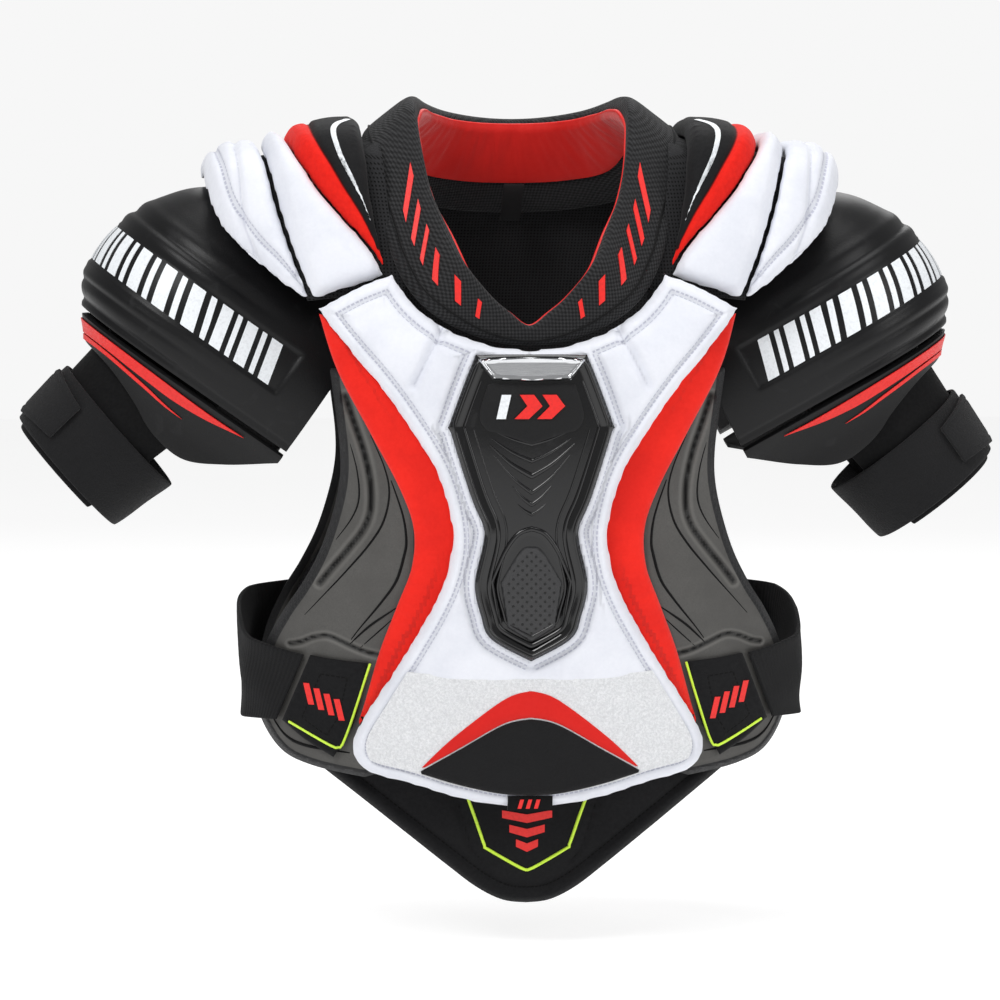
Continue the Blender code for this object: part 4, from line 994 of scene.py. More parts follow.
plate = {"cell": 0.0012, "ledge": 0.0045, "rail": 0.0094, "innerRail": 0.0150}
ridges = [  # nested chevrons: half width, outer height, tip height, how proud
    (0.0235, -0.1610, -0.1690, 0.0012), (0.0265, -0.1650, -0.1800, 0.0016),
    (0.0285, -0.1685, -0.1900, 0.0024), (0.0255, -0.1760, -0.2010, 0.0014),
    (0.0130, -0.1965, -0.2090, 0.0016), (0.0095, -0.2085, -0.2155, 0.0010),
]
insertLine = wholeOutline([(0.000, -0.2370, "corner"), (0.0075, -0.2400), (0.0205, -0.2610, "corner"),
                           (0.0160, -0.2910, "corner"), (0.000, -0.3010, "corner")], 0.0015)
archLine = wholeOutline([(0.000, -0.2250, "corner"), (0.0090, -0.2285), (0.0175, -0.2400),
                         (0.0262, -0.2600, "corner"), (0.0205, -0.2950, "corner"),
                         (0.000, -0.3075, "corner")], 0.0015)


def plateRelief(uv):
    rim = measured(uv, plateLine)[0]
    height = 0.0010 + 0.0030 * ease(rim, 0.0, 0.0030)
    height -= 0.0012 * ease(rim, plate["ledge"], plate["ledge"] + 0.0035)
    inArch = isInside(uv, archLine)
    return height - np.where(inArch, 0.0016 * ease(measured(uv, archLine)[0], 0, 0.0030), 0)


# the outline drawn in by a distance, evened out again
def insetOf(outline, depth):
    along = np.roll(outline, -2, 0) - np.roll(outline, 2, 0)
    normal = np.stack([-along[:, 1], along[:, 0]], 1)
    normal /= np.linalg.norm(normal, axis=1)[:, None]
    inner = outline + normal * depth
    if not isInside(inner, outline).mean() > 0.5:
        inner = outline - normal * depth
    inner = inner[measured(inner, outline)[0] > depth * 0.93]
    for _ in range(3):
        inner = (np.roll(inner, 1, 0) + 2 * inner + np.roll(inner, -1, 0)) / 4
    return inner


# part of a ring, starting at its gap
def opened(ring, kept):
    line = ring[kept]
    start = np.argmax(np.linalg.norm(line - np.roll(line, 1, 0), axis=1))
    return np.roll(line, -start, 0)


# raised rails and nested ridges, swept along the plate
def makeRails():
    base = lambda line: chestTop(line[:, 1]) + gap + 0.0027
    wide, thin = insetOf(plateLine, plate["rail"]), insetOf(plateLine, plate["innerRail"])
    parts = [("plateEdge", insetOf(plateLine, 0.0028), 0.0013, 0.0006, True, 0.0),
             ("plateRail", opened(wide, wide[:, 1] < -0.126), 0.0019, 0.0, False, 0.6),
             ("plateInnerRail", opened(thin, thin[:, 1] < -0.158), 0.0010, 0.0, False, 0.5),
             ("plateArch", opened(archLine, archLine[:, 1] > -0.292), 0.0017, 0.0003, False, 0.7)]
    for k, (half, outer, tip, proud) in enumerate(ridges):
        strand = curveThrough([(-half, outer), (-half * 0.5, (outer * 0.40 + tip * 0.60)),
                               (0, tip, "corner"), (half * 0.5, (outer * 0.40 + tip * 0.60)),
                               (half, outer)], 0.0015)
        parts.append((f"plateRidge{k}", strand, 0.0007 + proud * 0.55, 0.0, False, 0.85))
    for name, line, radius, lift, cyclic, taper in parts:
        sweep = rope(name, onFront(line, base(line) + lift), radius, cyclic, 3, taper)
        wear(sweep, "glossPlastic", "front")


def makePlate():
    base = lambda uv: chestTop(uv[:, 1]) + gap
    piece = layPad("sternumPlate", plateLine, plate["cell"], onFront, base,
                   lambda uv: base(uv) + plateRelief(uv), 55)
    wear(piece, "glossPlastic", "front", ["sternum_plate"])
    makeRails()
    field = wholeOutline([(0.000, -0.1290, "corner"), (0.0255, -0.1285), (0.0300, -0.1330),
                          (0.0345, -0.1500), (0.0300, -0.1590), (0.0225, -0.1615),
                          (0.000, -0.1690, "corner")], 0.0015)
    panel = layPad("plateField", field, 0.0012, onFront, lambda uv: base(uv) + 0.0010,
                   lambda uv: base(uv) + 0.0040 + 0.0003 * ease(measured(uv, field)[0], 0, 0.001), 40)
    wear(panel, "mattPlastic", "front")

    def insertTop(uv):
        rim = measured(uv, insertLine)[0]
        return base(uv) + 0.0022 + 0.0016 * ease(rim, 0, 0.0010) - 0.0007 * ease(
            rim, 0.0020, 0.0030)

    insert = layPad("ventInsert", insertLine, 0.0010, onFront, lambda uv: base(uv) + 0.0006,
                    insertTop, 50)
    markRims(insert, flatPlace(insert), insertLine)
    wear(insert, "ventRubber", "front", ["sternum_insert"])


badge = {"cell": 0.0007, "edge": 0.0014, "recess": 0.0007}
badgeLine = wholeOutline([(0.000, -0.1105, "corner"), (0.020, -0.1108), (0.0325, -0.1120),
                          (0.0348, -0.1142), (0.0270, -0.1245), (0.0235, -0.1262),
                          (0.000, -0.1275, "corner")], 0.001)


def makeBadge():
    face = -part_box("sternum_badge")[0].y

    def lay(uv, proud):
        return np.stack([uv[:, 0], -(face - 0.0052 + proud), uv[:, 1]], 1)

    def outer(uv):
        rim = measured(uv, badgeLine)[0]
        return 0.0012 + 0.0040 * ease(rim, 0, badge["edge"]) - badge["recess"] * ease(
            rim, 0.0024, 0.0030)

    piece = layPad("nameBadge", badgeLine, badge["cell"], lay, level(0.0), outer, 50)
    wear(piece, "chrome", "front", ["sternum_badge"])


# a small flat shape cut from a disc's edge points, laid on a surface and thickened
def platelet(name, outline, lay, low, high, finish, body, nodes=()):
    outline = np.array(outline)
    bpy.ops.object.select_all(action="DESELECT")
    bpy.ops.mesh.primitive_circle_add(vertices=len(outline), fill_type="NGON")
    piece = bpy.context.active_object
    piece.name = piece.data.name = name
    setPoints(piece.data, np.column_stack([outline, np.zeros(len(outline))]))
    raisePad(piece, lay, low, high)
    shadeSoft(piece, 30)
    return wear(piece, finish, body, nodes)


# a slanted bar: its lower left corner, size and lean to the right
def barShape(x, z, width, height, lean, step=0.004):
    return cornered([(x, z), (x + width, z), (x + width + lean, z + height), (x + lean, z + height)],
                    step)


def makeEmblem():
    base = lambda uv: chestTop(uv[:, 1]) + gap + 0.0040
    proud = lambda uv: base(uv) + 0.0016
    platelet("emblemBar", barShape(-0.0235, -0.1520, 0.0062, 0.0160, 0.0036), onFront, base, proud,
             "whitePrint", "front", ["sternum_emblem"])
    for k, shift in enumerate((-0.0115, 0.0035)):
        arrow = [(shift, -0.1520), (shift + 0.0095, -0.1520), (shift + 0.0185, -0.1435),
                 (shift + 0.0130, -0.1360), (shift + 0.0035, -0.1360), (shift + 0.0085, -0.1435)]
        platelet(f"emblemArrow{k}", cornered(arrow, 0.003), onFront, base, proud, "redPrint", "front")


makePlate()
makeBadge()
makeEmblem()
print("sternum plate made")


chevronLine = wholeOutline([(0.000, -0.3340, "corner"), (0.018, -0.3400), (0.052, -0.3660),
                            (0.0745, -0.3880, "corner"), (0.048, -0.3730), (0.018, -0.3560),
                            (0.000, -0.3520, "corner")])
loopPatchLine = wholeOutline([(0.000, -0.3530, "corner"), (0.018, -0.3570), (0.048, -0.3740),
                              (0.0750, -0.3895, "corner"), (0.048, -0.3975), (0.020, -0.4035),
                              (0.000, -0.4048, "corner")])


def makeHem():
    for name, line, finish, node, low, high in (
            ("hemChevron", chevronLine, "redCloth", "hem_chevron", 0.0002, 0.0022),
            ("hemLoopPatch", loopPatchLine, "blackLoop", "belly_loop_patch", 0.0002, 0.0030)):
        piece = layPad(name, line, 0.0020, onFront, lambda uv: chestTop(uv[:, 1]) + low - 0.002,
                       lambda uv: chestTop(uv[:, 1]) + low + (high - low) * (
                           0.45 + 0.55 * ease(measured(uv, line)[0], 0, 0.0022)), 50)
        wear(piece, finish, "front", [node])
    label = [(-0.0150, -0.4055), (0.0150, -0.4055), (0.0150, -0.4155), (-0.0150, -0.4155)]
    base = lambda uv: chestTop(uv[:, 1]) - 0.004
    proud = lambda uv: chestTop(uv[:, 1]) - 0.0010
    platelet("sizeTag", cornered(label, 0.002), onFront, lambda uv: base(uv) - 0.003, proud,
             "blackCloth", "front", ["size_tag"])
    for k in range(3):
        bar = barShape(-0.0085 + 0.0055 * k, -0.4140, 0.0026, 0.0062, 0.0018, 0.002)
        platelet(f"sizeTagStripe{k}", bar, onFront, lambda uv: proud(uv) - 0.0002,
                 lambda uv: proud(uv) + 0.0004, "redPrint", "front")


bellyLine = wholeOutline([
    (0.000, -0.335, "corner"), (0.100, -0.335, "corner"), (0.136, -0.372, "corner"),
    (0.1400, -0.3930, "corner"), (0.1127, -0.4130), (0.082, -0.4367), (0.055, -0.4580),
    (0.034, -0.4740), (0.016, -0.4830), (0.000, -0.4850)])
bellySeams = [[(s * 0.0500, -0.4030), (s * 0.0440, -0.4250), (s * 0.0372, -0.4470),
               (s * 0.0300, -0.4560)] for s in sides.values()]
belly = {"wall": 0.009, "gap": 0.004, "binding": 0.0112, "crown": 0.0020}


def bellyTop(uv):
    rim = measured(uv, bellyLine)[0]
    seam = np.minimum(*[measured(uv, np.array(line), closed=False)[0] for line in bellySeams])
    roll = 0.0012 * hump(rim, 0.0055, 0.0042) - 0.0022 * hump(rim, belly["binding"], 0.0018)
    return -belly["gap"] - belly["wall"] * 0.55 * (1 - ease(rim, 0, 0.0045)) + roll \
        + belly["crown"] * ease(rim, 0.012, 0.032) - 0.0014 * hump(seam, 0, 0.0020)


def makeBelly():
    piece = layPad("bellyPad", bellyLine, 0.0022, onFront, level(-belly["gap"] - belly["wall"]),
                   bellyTop)
    markRims(piece, flatPlace(piece), bellyLine, bellySeams)
    wear(piece, "blackCloth", "belly", ["belly_pad"], 0.6)
    half = [(0.0430, -0.3980), (0.0412, -0.4080), (0.0350, -0.4260), (0.0288, -0.4440),
            (0.0265, -0.4468), (0.0040, -0.4600), (0.0000, -0.4612)]
    line = curveThrough(half, 0.002)
    line = np.vstack([line, (line * (-1, 1))[::-1][1:]])
    path = onFront(line, bellyTop(line) + 0.0001)
    wear(rope("bellyPiping", path, 0.0011), "neonPrint", "belly")
    for k, (width, z) in enumerate(((0.034, -0.4230), (0.024, -0.4330), (0.015, -0.4430))):
        for side, sign in sides.items():
            bar = [(0, z), (sign * width / 2, z + 0.0030), (sign * width / 2, z - 0.0022),
                   (0, z - 0.0058)]
            platelet(f"bellyMark{k}{side.title()}", cornered(bar, 0.003), onFront,
                     lambda uv: bellyTop(uv) - 0.0006, lambda uv: bellyTop(uv) + 0.0004,
                     "redPrint", "belly")
    hook = wholeOutline([(0.000, -0.345, "corner"), (0.080, -0.345, "corner"),
                         (0.080, -0.375, "corner"), (0.000, -0.375, "corner")])
    inner = -belly["gap"] - belly["wall"] - gap
    hooks = layPad("bellyHookStrip", hook, 0.0040, onFront, level(inner - thinWall), level(inner), 50)
    wear(hooks, "blackLoop", "belly", ["belly_hook_strip"])


makeHem()
makeBelly()
print("hem and belly pad made")


def waves(value, pitch):
    return np.sin(value * 2 * np.pi / pitch)


def makeLinings():
    frontLine = wholeOutline([
        (0.000, -0.1085, "corner"), (0.024, -0.1060), (0.048, -0.0980), (0.068, -0.0890),
        (0.084, -0.0780, "corner"), (0.112, -0.0860), (0.118, -0.115), (0.116, -0.160),
        (0.118, -0.200), (0.130, -0.244), (0.156, -0.290), (0.166, -0.340),
        (0.158, -0.372, "corner"), (0.110, -0.386), (0.055, -0.398), (0.000, -0.404)])
    backLine = wholeOutline([
        (0.000, -0.0040, "corner"), (0.045, -0.0010), (0.070, 0.0040), (0.0865, -0.0100, "corner"),
        (0.0915, -0.0590, "corner"),
        (0.112, -0.0850), (0.118, -0.115), (0.116, -0.160), (0.118, -0.200), (0.130, -0.244),
        (0.156, -0.290), (0.166, -0.340), (0.158, -0.372, "corner"), (0.110, -0.384),
        (0.055, -0.392), (0.000, -0.394)])
    for name, line, lay, body, node in (
            ("frontLining", frontLine, onFront, "front", "front_liner"),
            ("backLining", backLine, onBack, "yoke", "back_liner")):
        def skin(uv):  # quilted a little, so that it isn't a plain shell
            quilt = waves(uv[:, 0] + uv[:, 1], 0.05) * waves(uv[:, 0] - uv[:, 1], 0.05)
            return 0.0006 * quilt * ease(measured(uv, line)[0], 0.004, 0.02)

        piece = layPad(name, line, 0.0040, lay, lambda uv: skin(uv) + 0.0006,
                       lambda uv: skin(uv) + linerWall - 0.0006)
        wear(piece, "meshLining", body, [node])
    core = np.array([(-0.069, -0.115), (0.069, -0.115), (0.069, -0.383), (-0.069, -0.383)])
    piece = layPad("chestCoreFoam", cornered(core, 0.004), 0.0060, onFront, level(linerWall + gap),
                   lambda uv: redBase(uv[:, 1]) - gap)
    wear(piece, "greyFoam", "front", ["chest_core_foam"], 0.9)


makeLinings()


spineLine = wholeOutline([
    (0.000, -0.020, "corner"), (0.060, -0.022), (0.084, -0.040), (0.0895, -0.0590, "corner"),
    (0.116, -0.0670), (0.142, -0.0805, "corner"), (0.120, -0.125), (0.086, -0.180),
    (0.072, -0.235), (0.078, -0.300), (0.094, -0.350), (0.098, -0.372), (0.084, -0.388),
    (0.045, -0.400), (0.000, -0.404)])
guardLine = wholeOutline([
    (0.000, -0.048, "corner"), (0.030, -0.058), (0.040, -0.090), (0.030, -0.150),
    (0.033, -0.210), (0.027, -0.280), (0.018, -0.330), (0.000, -0.345, "corner")], 0.002)
spineSeams = [[(s * 0.0520, -0.0300), (s * 0.0580, -0.0900), (s * 0.0460, -0.1600),
               (s * 0.0470, -0.2200), (s * 0.0440, -0.3000), (s * 0.0480, -0.3900)]
              for s in sides.values()]
spineSeams += [[(s * 0.0580, -0.0900), (s * 0.0950, -0.1450)] for s in sides.values()]
spineSeams += [[(s * 0.0450, -0.2800), (s * 0.0780, -0.3060)] for s in sides.values()]
spine = {"cell": 0.0032, "voxel": 0.0040, "pressure": 4.0, "most": 0.0024, "crown": 0.0024}


def makeSpine():
    base = lambda uv: linerWall + gap + (ribWall + gap) * stepUp(uv[:, 1])

    def outer(uv):
        rim = measured(uv, spineLine)[0]
        wall = spineWall * (0.40 + 0.60 * ease(rim, 0, 0.006))
        return base(uv) + wall + spine["crown"] * ease(rim, 0.01, 0.03) * ease(
            beyond(uv, guardLine), 0.004, 0.016)

    piece = cutPattern("spinePanel", spineLine, spine["cell"])
    raisePad(piece, onBack, base, outer)

    def hold(co):
        uv = co[:, [0, 2]]
        inner = co[:, 1] < formDepth(uv[:, 0], uv[:, 1], base(uv) + 0.004)
        return np.where(inner, 1, ease(-beyond(uv, guardLine), -0.006, -0.001))

    puff(piece, spine["voxel"], spine["pressure"], spine["most"], hold)
    co = pointsOf(piece.data)
    uv = co[:, [0, 2]]
    outside = co[:, 1] > formDepth(uv[:, 0], uv[:, 1], base(uv) + 0.005)
    rim, seam = markRims(piece, uv, spineLine, spineSeams)
    tag(piece, "rim", np.where(outside, rim, noRim))
    tag(piece, "seam", np.where(outside, seam, noSeam))
    carve = 0.0019 * hump(rim, *edgeFold) + 0.0034 * hump(seam, 0, 0.0034)
    setPoints(piece.data, co - normalsOf(piece.data) * (carve * outside)[:, None])
    shadeSoft(piece, 70)
    wear(piece, "whiteCloth", "yoke", ["spine_panel"], 0.7)

    def relief(uv):
        rim = measured(uv, guardLine)[0]
        band = np.abs((uv[:, 1] + 0.048) % 0.0372 - 0.0186)
        height = 0.0010 + 0.0032 * ease(rim, 0, 0.0030) + 0.0020 * ease(rim, 0.0055, 0.0085)
        return height - 0.0022 * hump(band, 0, 0.0022) * ease(rim, 0.0035, 0.0060) \
            + 0.0012 * hump(uv[:, 0], 0, 0.0045)

    proud = lambda uv: base(uv) + spineWall + gap
    guard = layPad("spineGuard", guardLine, 0.0014, onBack, proud,
                   lambda uv: proud(uv) + relief(uv), 55)
    wear(guard, "capPlastic", "yoke", ["spine_guard"])


makeSpine()
print("back made")


shoulder = {"cell": 0.0030, "voxel": 0.0036, "pressure": 4.0, "most": 0.0030, "groove": 0.0028}
blackEdge = [(0.0945, 15.0, "corner"), (0.106, 24.0), (0.127, 34.5), (0.146, 45.0), (0.158, 58.0),
             (0.164, 90.0)]
neckEdge = [(0.0945, 15.0, "corner"), (0.106, 40.0), (0.110, 62.0), (0.111, 90.0)]
redEdge = [(0.0860, 11.0), (0.0950, 19.5), (0.110, 30.0), (0.128, 41.0), (0.141, 51.0), (0.1455, 64.0),
           (0.147, 90.0)]
seamEdge = [(0.144, 8.0, "corner"), (0.159, 27.0), (0.171, 46.0), (0.178, 63.0), (0.1795, 90.0)]
wingEdge = [(0.146, 7.5, "corner"), (0.160, 12.0), (0.175, 19.0), (0.190, 27.0), (0.206, 39.0),
            (0.216, 56.0), (0.2200, 75.0), (0.2210, 90.0)]


# an edge over the shoulder, front to back, in the flat pattern
def archLineOf(edge, shift=0.0):
    half = curveThrough([(p[0] + shift, p[1] * archScale, *p[2:]) for p in edge])
    back = (half * (1, -1) + (0, 180 * archScale))[::-1]
    return np.vstack([half, back[1:]])


def archOutline(outer, inner):
    ring = np.vstack([outer, inner[::-1]])
    keep = np.linalg.norm(ring - np.roll(ring, 1, 0), axis=1) > 0.0004
    return ring[keep]


# how far a point stands off the form over the shoulder
def archOffset(co):
    uv = archPattern(co)
    base = archPlace(co[:, 0], uv[:, 1] / archScale, 0.0)
    reach = lambda p: np.hypot(p[:, 1], p[:, 2] - archCentre)
    return reach(co) - reach(base)


def makeArchPad(name, outline, wall, seams, border=None, edgeShare=0.45, crown=0.0016):
    def outer(uv):
        rim = measured(uv, outline)[0]
        return wall * (edgeShare + (1 - edgeShare) * ease(rim, 0, 0.006)) + crown * ease(
            rim, 0.008, 0.024)

    piece = cutPattern(name, outline, shoulder["cell"])
    raisePad(piece, overShoulder, level(0.0), outer)

    def hold(co):
        return (archOffset(co) < wall * 0.42).astype(float)

    puff(piece, shoulder["voxel"], shoulder["pressure"], shoulder["most"], hold)
    co = pointsOf(piece.data)
    outside = archOffset(co) > wall * 0.45
    rim, seam = markRims(piece, archPattern(co), outline, seams)
    rim = np.full(len(co), noRim)
    if border is not None:
        rim, run, _ = measured(archPattern(co), border, closed=False)
        tag(piece, "run", run)
    carve = shoulder["groove"] * hump(rim, *edgeFold) + 0.0026 * hump(seam, 0, 0.0026)
    setPoints(piece.data, co - normalsOf(piece.data) * (carve * outside)[:, None])
    tag(piece, "rim", np.where(outside, rim, noRim))
    tag(piece, "seam", np.where(outside, seam, noSeam))
    shadeSoft(piece, 70)
    return piece


# the yoke's black cloth, red beyond the tagged line
def yokeFinish():
    finish = clothFinish("blackPad")
    finish.name = "yokeCloth"
    tree = finish.node_tree
    shader = tree.nodes["Principled BSDF"]
    black = shader.inputs["Base Color"].links[0].from_socket
    where = placeOn(tree)[0]
    red = mixed(tree, grain(tree, where, 300.0), (0.86, 0.020, 0.010, 1), (0.62, 0.008, 0.005, 1))
    beyond = fade(tree, tagged(tree, "zone"), -0.0002, 0.0002)
    # painted shade: a dark line along the groove where black meets red
    creaseShade = fade(tree, calc(tree, "ABSOLUTE", tagged(tree, "zone")), 0.0003, 0.0012, 0.8, 0)
    base = mixed(tree, beyond, black, red)
    plug(shader, Base_Color=mixed(tree, creaseShade, base, (0.02, 0.002, 0.002, 1)))
    return finish


def makeShoulders():
    black, neck, red = archLineOf(blackEdge), archLineOf(neckEdge), archLineOf(redEdge)
    seam, wing = archLineOf(seamEdge), archLineOf(wingEdge)
    finishes["yokeCloth"] = yokeFinish()
    yoke = makeArchPad("yokePadLeft", archOutline(black, neck), archWall, [], None, 0.5)
    uv = archPattern(pointsOf(yoke.data))
    reach = np.interp(uv[:, 1], red[:, 1], red[:, 0])
    zone = uv[:, 0] - reach
    tag(yoke, "zone", zone)
    tag(yoke, "rim", np.full(len(uv), noRim))
    groove = 0.0022 * hump(zone, 0, 0.0020) - 0.0010 * hump(zone, 0.008, 0.0050)
    outside = archOffset(pointsOf(yoke.data)) > archWall * 0.45
    setPoints(yoke.data, pointsOf(yoke.data) - normalsOf(yoke.data) * (groove * outside)[:, None])
    pad = makeArchPad("shoulderPadLeft", archOutline(seam, archLineOf(blackEdge, 0.0015)), archWall, [])
    flap = makeArchPad("epauletteLeft", archOutline(wing, archLineOf(seamEdge, 0.0015)), epauletteWall,
                       [[(0.178, 16 * archScale), (0.192, 34 * archScale), (0.197, 60 * archScale),
                         (0.197, 120 * archScale), (0.192, 146 * archScale),
                         (0.178, 164 * archScale)]], wing, 0.5, 0.0020)
    middle = curveThrough([(x, a * archScale) for x, a in (
        (0.117, 69.0), (0.1265, 61.5), (0.1300, 54.0), (0.1270, 46.5), (0.1190, 40.0), (0.1010, 29.0))],
        0.0012)
    share = np.linspace(0, 1, len(middle))
    decal = ribbon("yokeStripeLeft", middle, 0.0022 * (1 - share**2.2) * ease(share, -0.01, 0.05),
                   lambda uv: overShoulder(uv, np.full(len(uv), archWall + 0.003)), 0.0004)
    applyModifier(decal, "SHRINKWRAP", target=yoke, wrap_method="NEAREST_SURFACEPOINT", offset=0.0004)
    for piece, name, finish, body, nodes, fill in (
            (yoke, "yokePad", "yokeCloth", "yoke", "yoke_pad", 0.8),
            (pad, "shoulderPad", "whiteCloth", "yoke", "shoulder_pad", 0.8),
            (flap, "epaulette", "whiteCloth", "{side}_epaulette", "epaulette", 0.8),
            (decal, "yokeStripe", "whitePrint", "yoke", None, None)):
        twin = mirrored(piece, f"{name}Right")
        for side, item in (("left", piece), ("right", twin)):
            wear(item, finish, body.format(side=side), [f"{nodes}_{side}"] if nodes else [], fill)


def makeArchLining():
    inner = archLineOf([(0.0820, 11.0, "corner"), (0.0930, 36.0), (0.0980, 60.0), (0.1000, 90.0)])
    line = archOutline(archLineOf(seamEdge, 0.0035), inner)
    piece = layPad("archLiningLeft", line, 0.0040, overShoulder, level(-0.0032), level(-0.0007))
    for item in (piece, mirrored(piece, "archLiningRight")):
        wear(item, "meshLining", "yoke", (), 0.3)


makeShoulders()
makeArchLining()
print("shoulders made")


collar = {"half": 0.0085, "stations": 220, "around": 30}
collarTop = [(0.000, -0.091), (0.013, -0.082), (0.026, -0.0705), (0.044, -0.0475),
             (0.056, -0.108, -0.021), (0.0645, -0.090, 0.0015), (0.0705, -0.062, 0.036),
             (0.0715, -0.030, 0.057), (0.068, 0.005, 0.061), (0.060, 0.040, 0.058),
             (0.045, 0.065, 0.054), (0.023, 0.081, 0.051), (0.000, 0.086, 0.050)]
collarLow = [(0.000, -0.1045), (0.022, -0.1025), (0.043, -0.0955), (0.0625, -0.085),
             (0.0775, -0.122, -0.071), (0.0885, -0.114, -0.052), (0.0985, -0.100, -0.022),
             (0.1050, -0.075, 0.012), (0.1070, -0.030, 0.030), (0.1030, 0.030, 0.026),
             (0.088, 0.076, -0.002), (0.048, 0.100, -0.013), (0.000, 0.106, -0.016)]


def collarEdge(points):
    placed = []
    for p in points:
        depth = -float(formDepth(p[0], p[-1], linerWall + gap + collar["half"])) if len(p) == 2 else p[1]
        placed.append((p[0], depth, p[-1]))
    half = np.array(placed)
    ring = np.vstack([half, (half * (-1, 1, 1))[::-1][1:-1]])
    count = len(ring)
    places = np.arange(collar["stations"] + 1) / collar["stations"] * count
    i, t = places.astype(int), (places % 1)[:, None]
    p0, p1, p2, p3 = (ring[(i + k) % count] for k in (-1, 0, 1, 2))
    return 0.5 * (2 * p1 + (p2 - p0) * t + (2 * p0 - 5 * p1 + 4 * p2 - p3) * t**2
                  + (3 * p1 - p0 - 3 * p2 + p3) * t**3)


def collarFrame():
    top, low = collarEdge(collarTop), collarEdge(collarLow)
    middle = (top + low)[:-1] / 2
    along = np.roll(middle, -1, 0) - np.roll(middle, 1, 0)
    across = (low - top)[:-1]
    normal = np.cross(across, along)
    normal /= np.linalg.norm(normal, axis=1)[:, None]
    out = normal[:, 0] * middle[:, 0] + normal[:, 1] * middle[:, 1] + normal[:, 2] * 0.02
    normal *= np.where(out < 0, -1, 1)[:, None]
    return top, low, np.vstack([normal, normal[:1]])


collarTopLine, collarLowLine, collarNormal = collarFrame()


# a place on the collar: station round it, share from its top edge down, lift outwards
def collarPlace(station, share, lift):
    at = np.asarray(station, float) % collar["stations"]
    i, t = at.astype(int), (at % 1)[:, None]
    read = lambda line: line[i] * (1 - t) + line[i + 1] * t
    top, low, normal = read(collarTopLine), read(collarLowLine), read(collarNormal)
    return top + (low - top) * np.asarray(share)[:, None] + normal * np.asarray(lift)[:, None]


def acrossCollar(piece):
    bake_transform(piece)


def makeCollar():
    count, around = collar["stations"], collar["around"]
    rows = []
    turn = np.arange(around + 1) / around * 2 * np.pi
    share = 0.5 - 0.5 * np.sign(np.cos(turn)) * np.abs(np.cos(turn)) ** 0.62
    lift = collar["half"] * 1.06 * np.sign(np.sin(turn)) * np.abs(np.sin(turn)) ** 0.55
    for k in range(count + 1):
        flex = 0.012 * math.sin(k * 0.61) * math.sin(k * 0.173)
        rows.append(collarPlace(np.full(around + 1, k), share, lift * (1 + flex)))
    piece = paramSheet("collarPad", rows, closed=True)
    reshape(piece, turnOut)
    shadeSoft(piece, 60)
    applyModifier(piece, "SUBSURF", levels=1, render_levels=1)
    wear(piece, "blackKnit", None, ["collar_front", "collar_back"], 0.8)
    acrossCollar(piece)
    piping = [collarPlace([k], [0.035], [-collar["half"] * 0.80])[0] for k in range(count)]
    piping = rope("collarPiping", piping, 0.0013, cyclic=True)
    wear(piping, "redPrint")
    acrossCollar(piping)
    seam = [collarPlace([k], [0.80], [collar["half"] * 1.03])[0] for k in range(count)]
    seam = rope("collarSeam", seam, 0.0007, cyclic=True)
    wear(seam, "blackPad")
    acrossCollar(seam)
    makeCollarLining()
    makeCollarMarks()


def makeCollarLining():
    heights = collarTopLine[:, 2]
    inside = [k for k in range(collar["stations"]) if heights[k] > 0.004]
    first, last = inside[0], inside[-1]
    stations = np.arange(first, last + 0.01, 0.5)
    rows = []
    for k, share in enumerate(np.linspace(0.0, 0.62, 22)):
        swell = math.sin(math.pi * min(1, share / 0.62)) ** 0.5
        pleat = 0.5 + 0.5 * np.cos((stations - collar["stations"] / 2) * 0.42)
        pucker = np.sin(stations * 1.9) * 0.00035 + np.sin(stations * 0.83 + share * 9) * 0.0004
        lift = -collar["half"] * 1.06 * (1.0 if share > 0.06 else 0.72 + 4.6 * share) - 0.0014 \
            - 0.0012 * swell * (1 - pleat**6) - np.abs(pucker) * swell
        rows.append(collarPlace(stations, np.full(len(stations), share + 0.02), lift))
    piece = paramSheet("collarLining", rows)
    co = pointsOf(piece.data)
    normals = normalsOf(piece.data)
    if (normals * (np.array([0, 0, co[:, 2].mean()]) - co)).sum() < 0:
        piece.data.flip_normals()
    applyModifier(piece, "SOLIDIFY", thickness=0.0010, offset=-1)
    shadeSoft(piece, 60)
    wear(piece, "redCloth", "yoke", ["collar_lining"], 0.5)


# six slanted dashes on each side of the collar, stitched in red
def makeCollarMarks():
    def lay(uv, proud):
        return collarPlace(uv[:, 0] * 1000, uv[:, 1] * 10, proud)

    for side, sign in sides.items():
        for k in range(6):
            station = 17.0 + 6.0 * k
            wide = 2.6 + 0.35 * k
            corners = [(station, 0.60), (station + wide * 0.55, 0.60), (station + wide * 1.35, 0.27),
                       (station + wide * 0.80, 0.27)]
            line = [((p[0] if sign > 0 else collar["stations"] - p[0]) / 1000, p[1] / 10)
                    for p in corners]
            dash = platelet(f"collarDash{side.title()}{k}", cornered(line, 0.002), lay,
                            level(collar["half"] * 0.98), level(collar["half"] * 1.06 + 0.0006),
                            "redPrint", None)
            acrossCollar(dash)


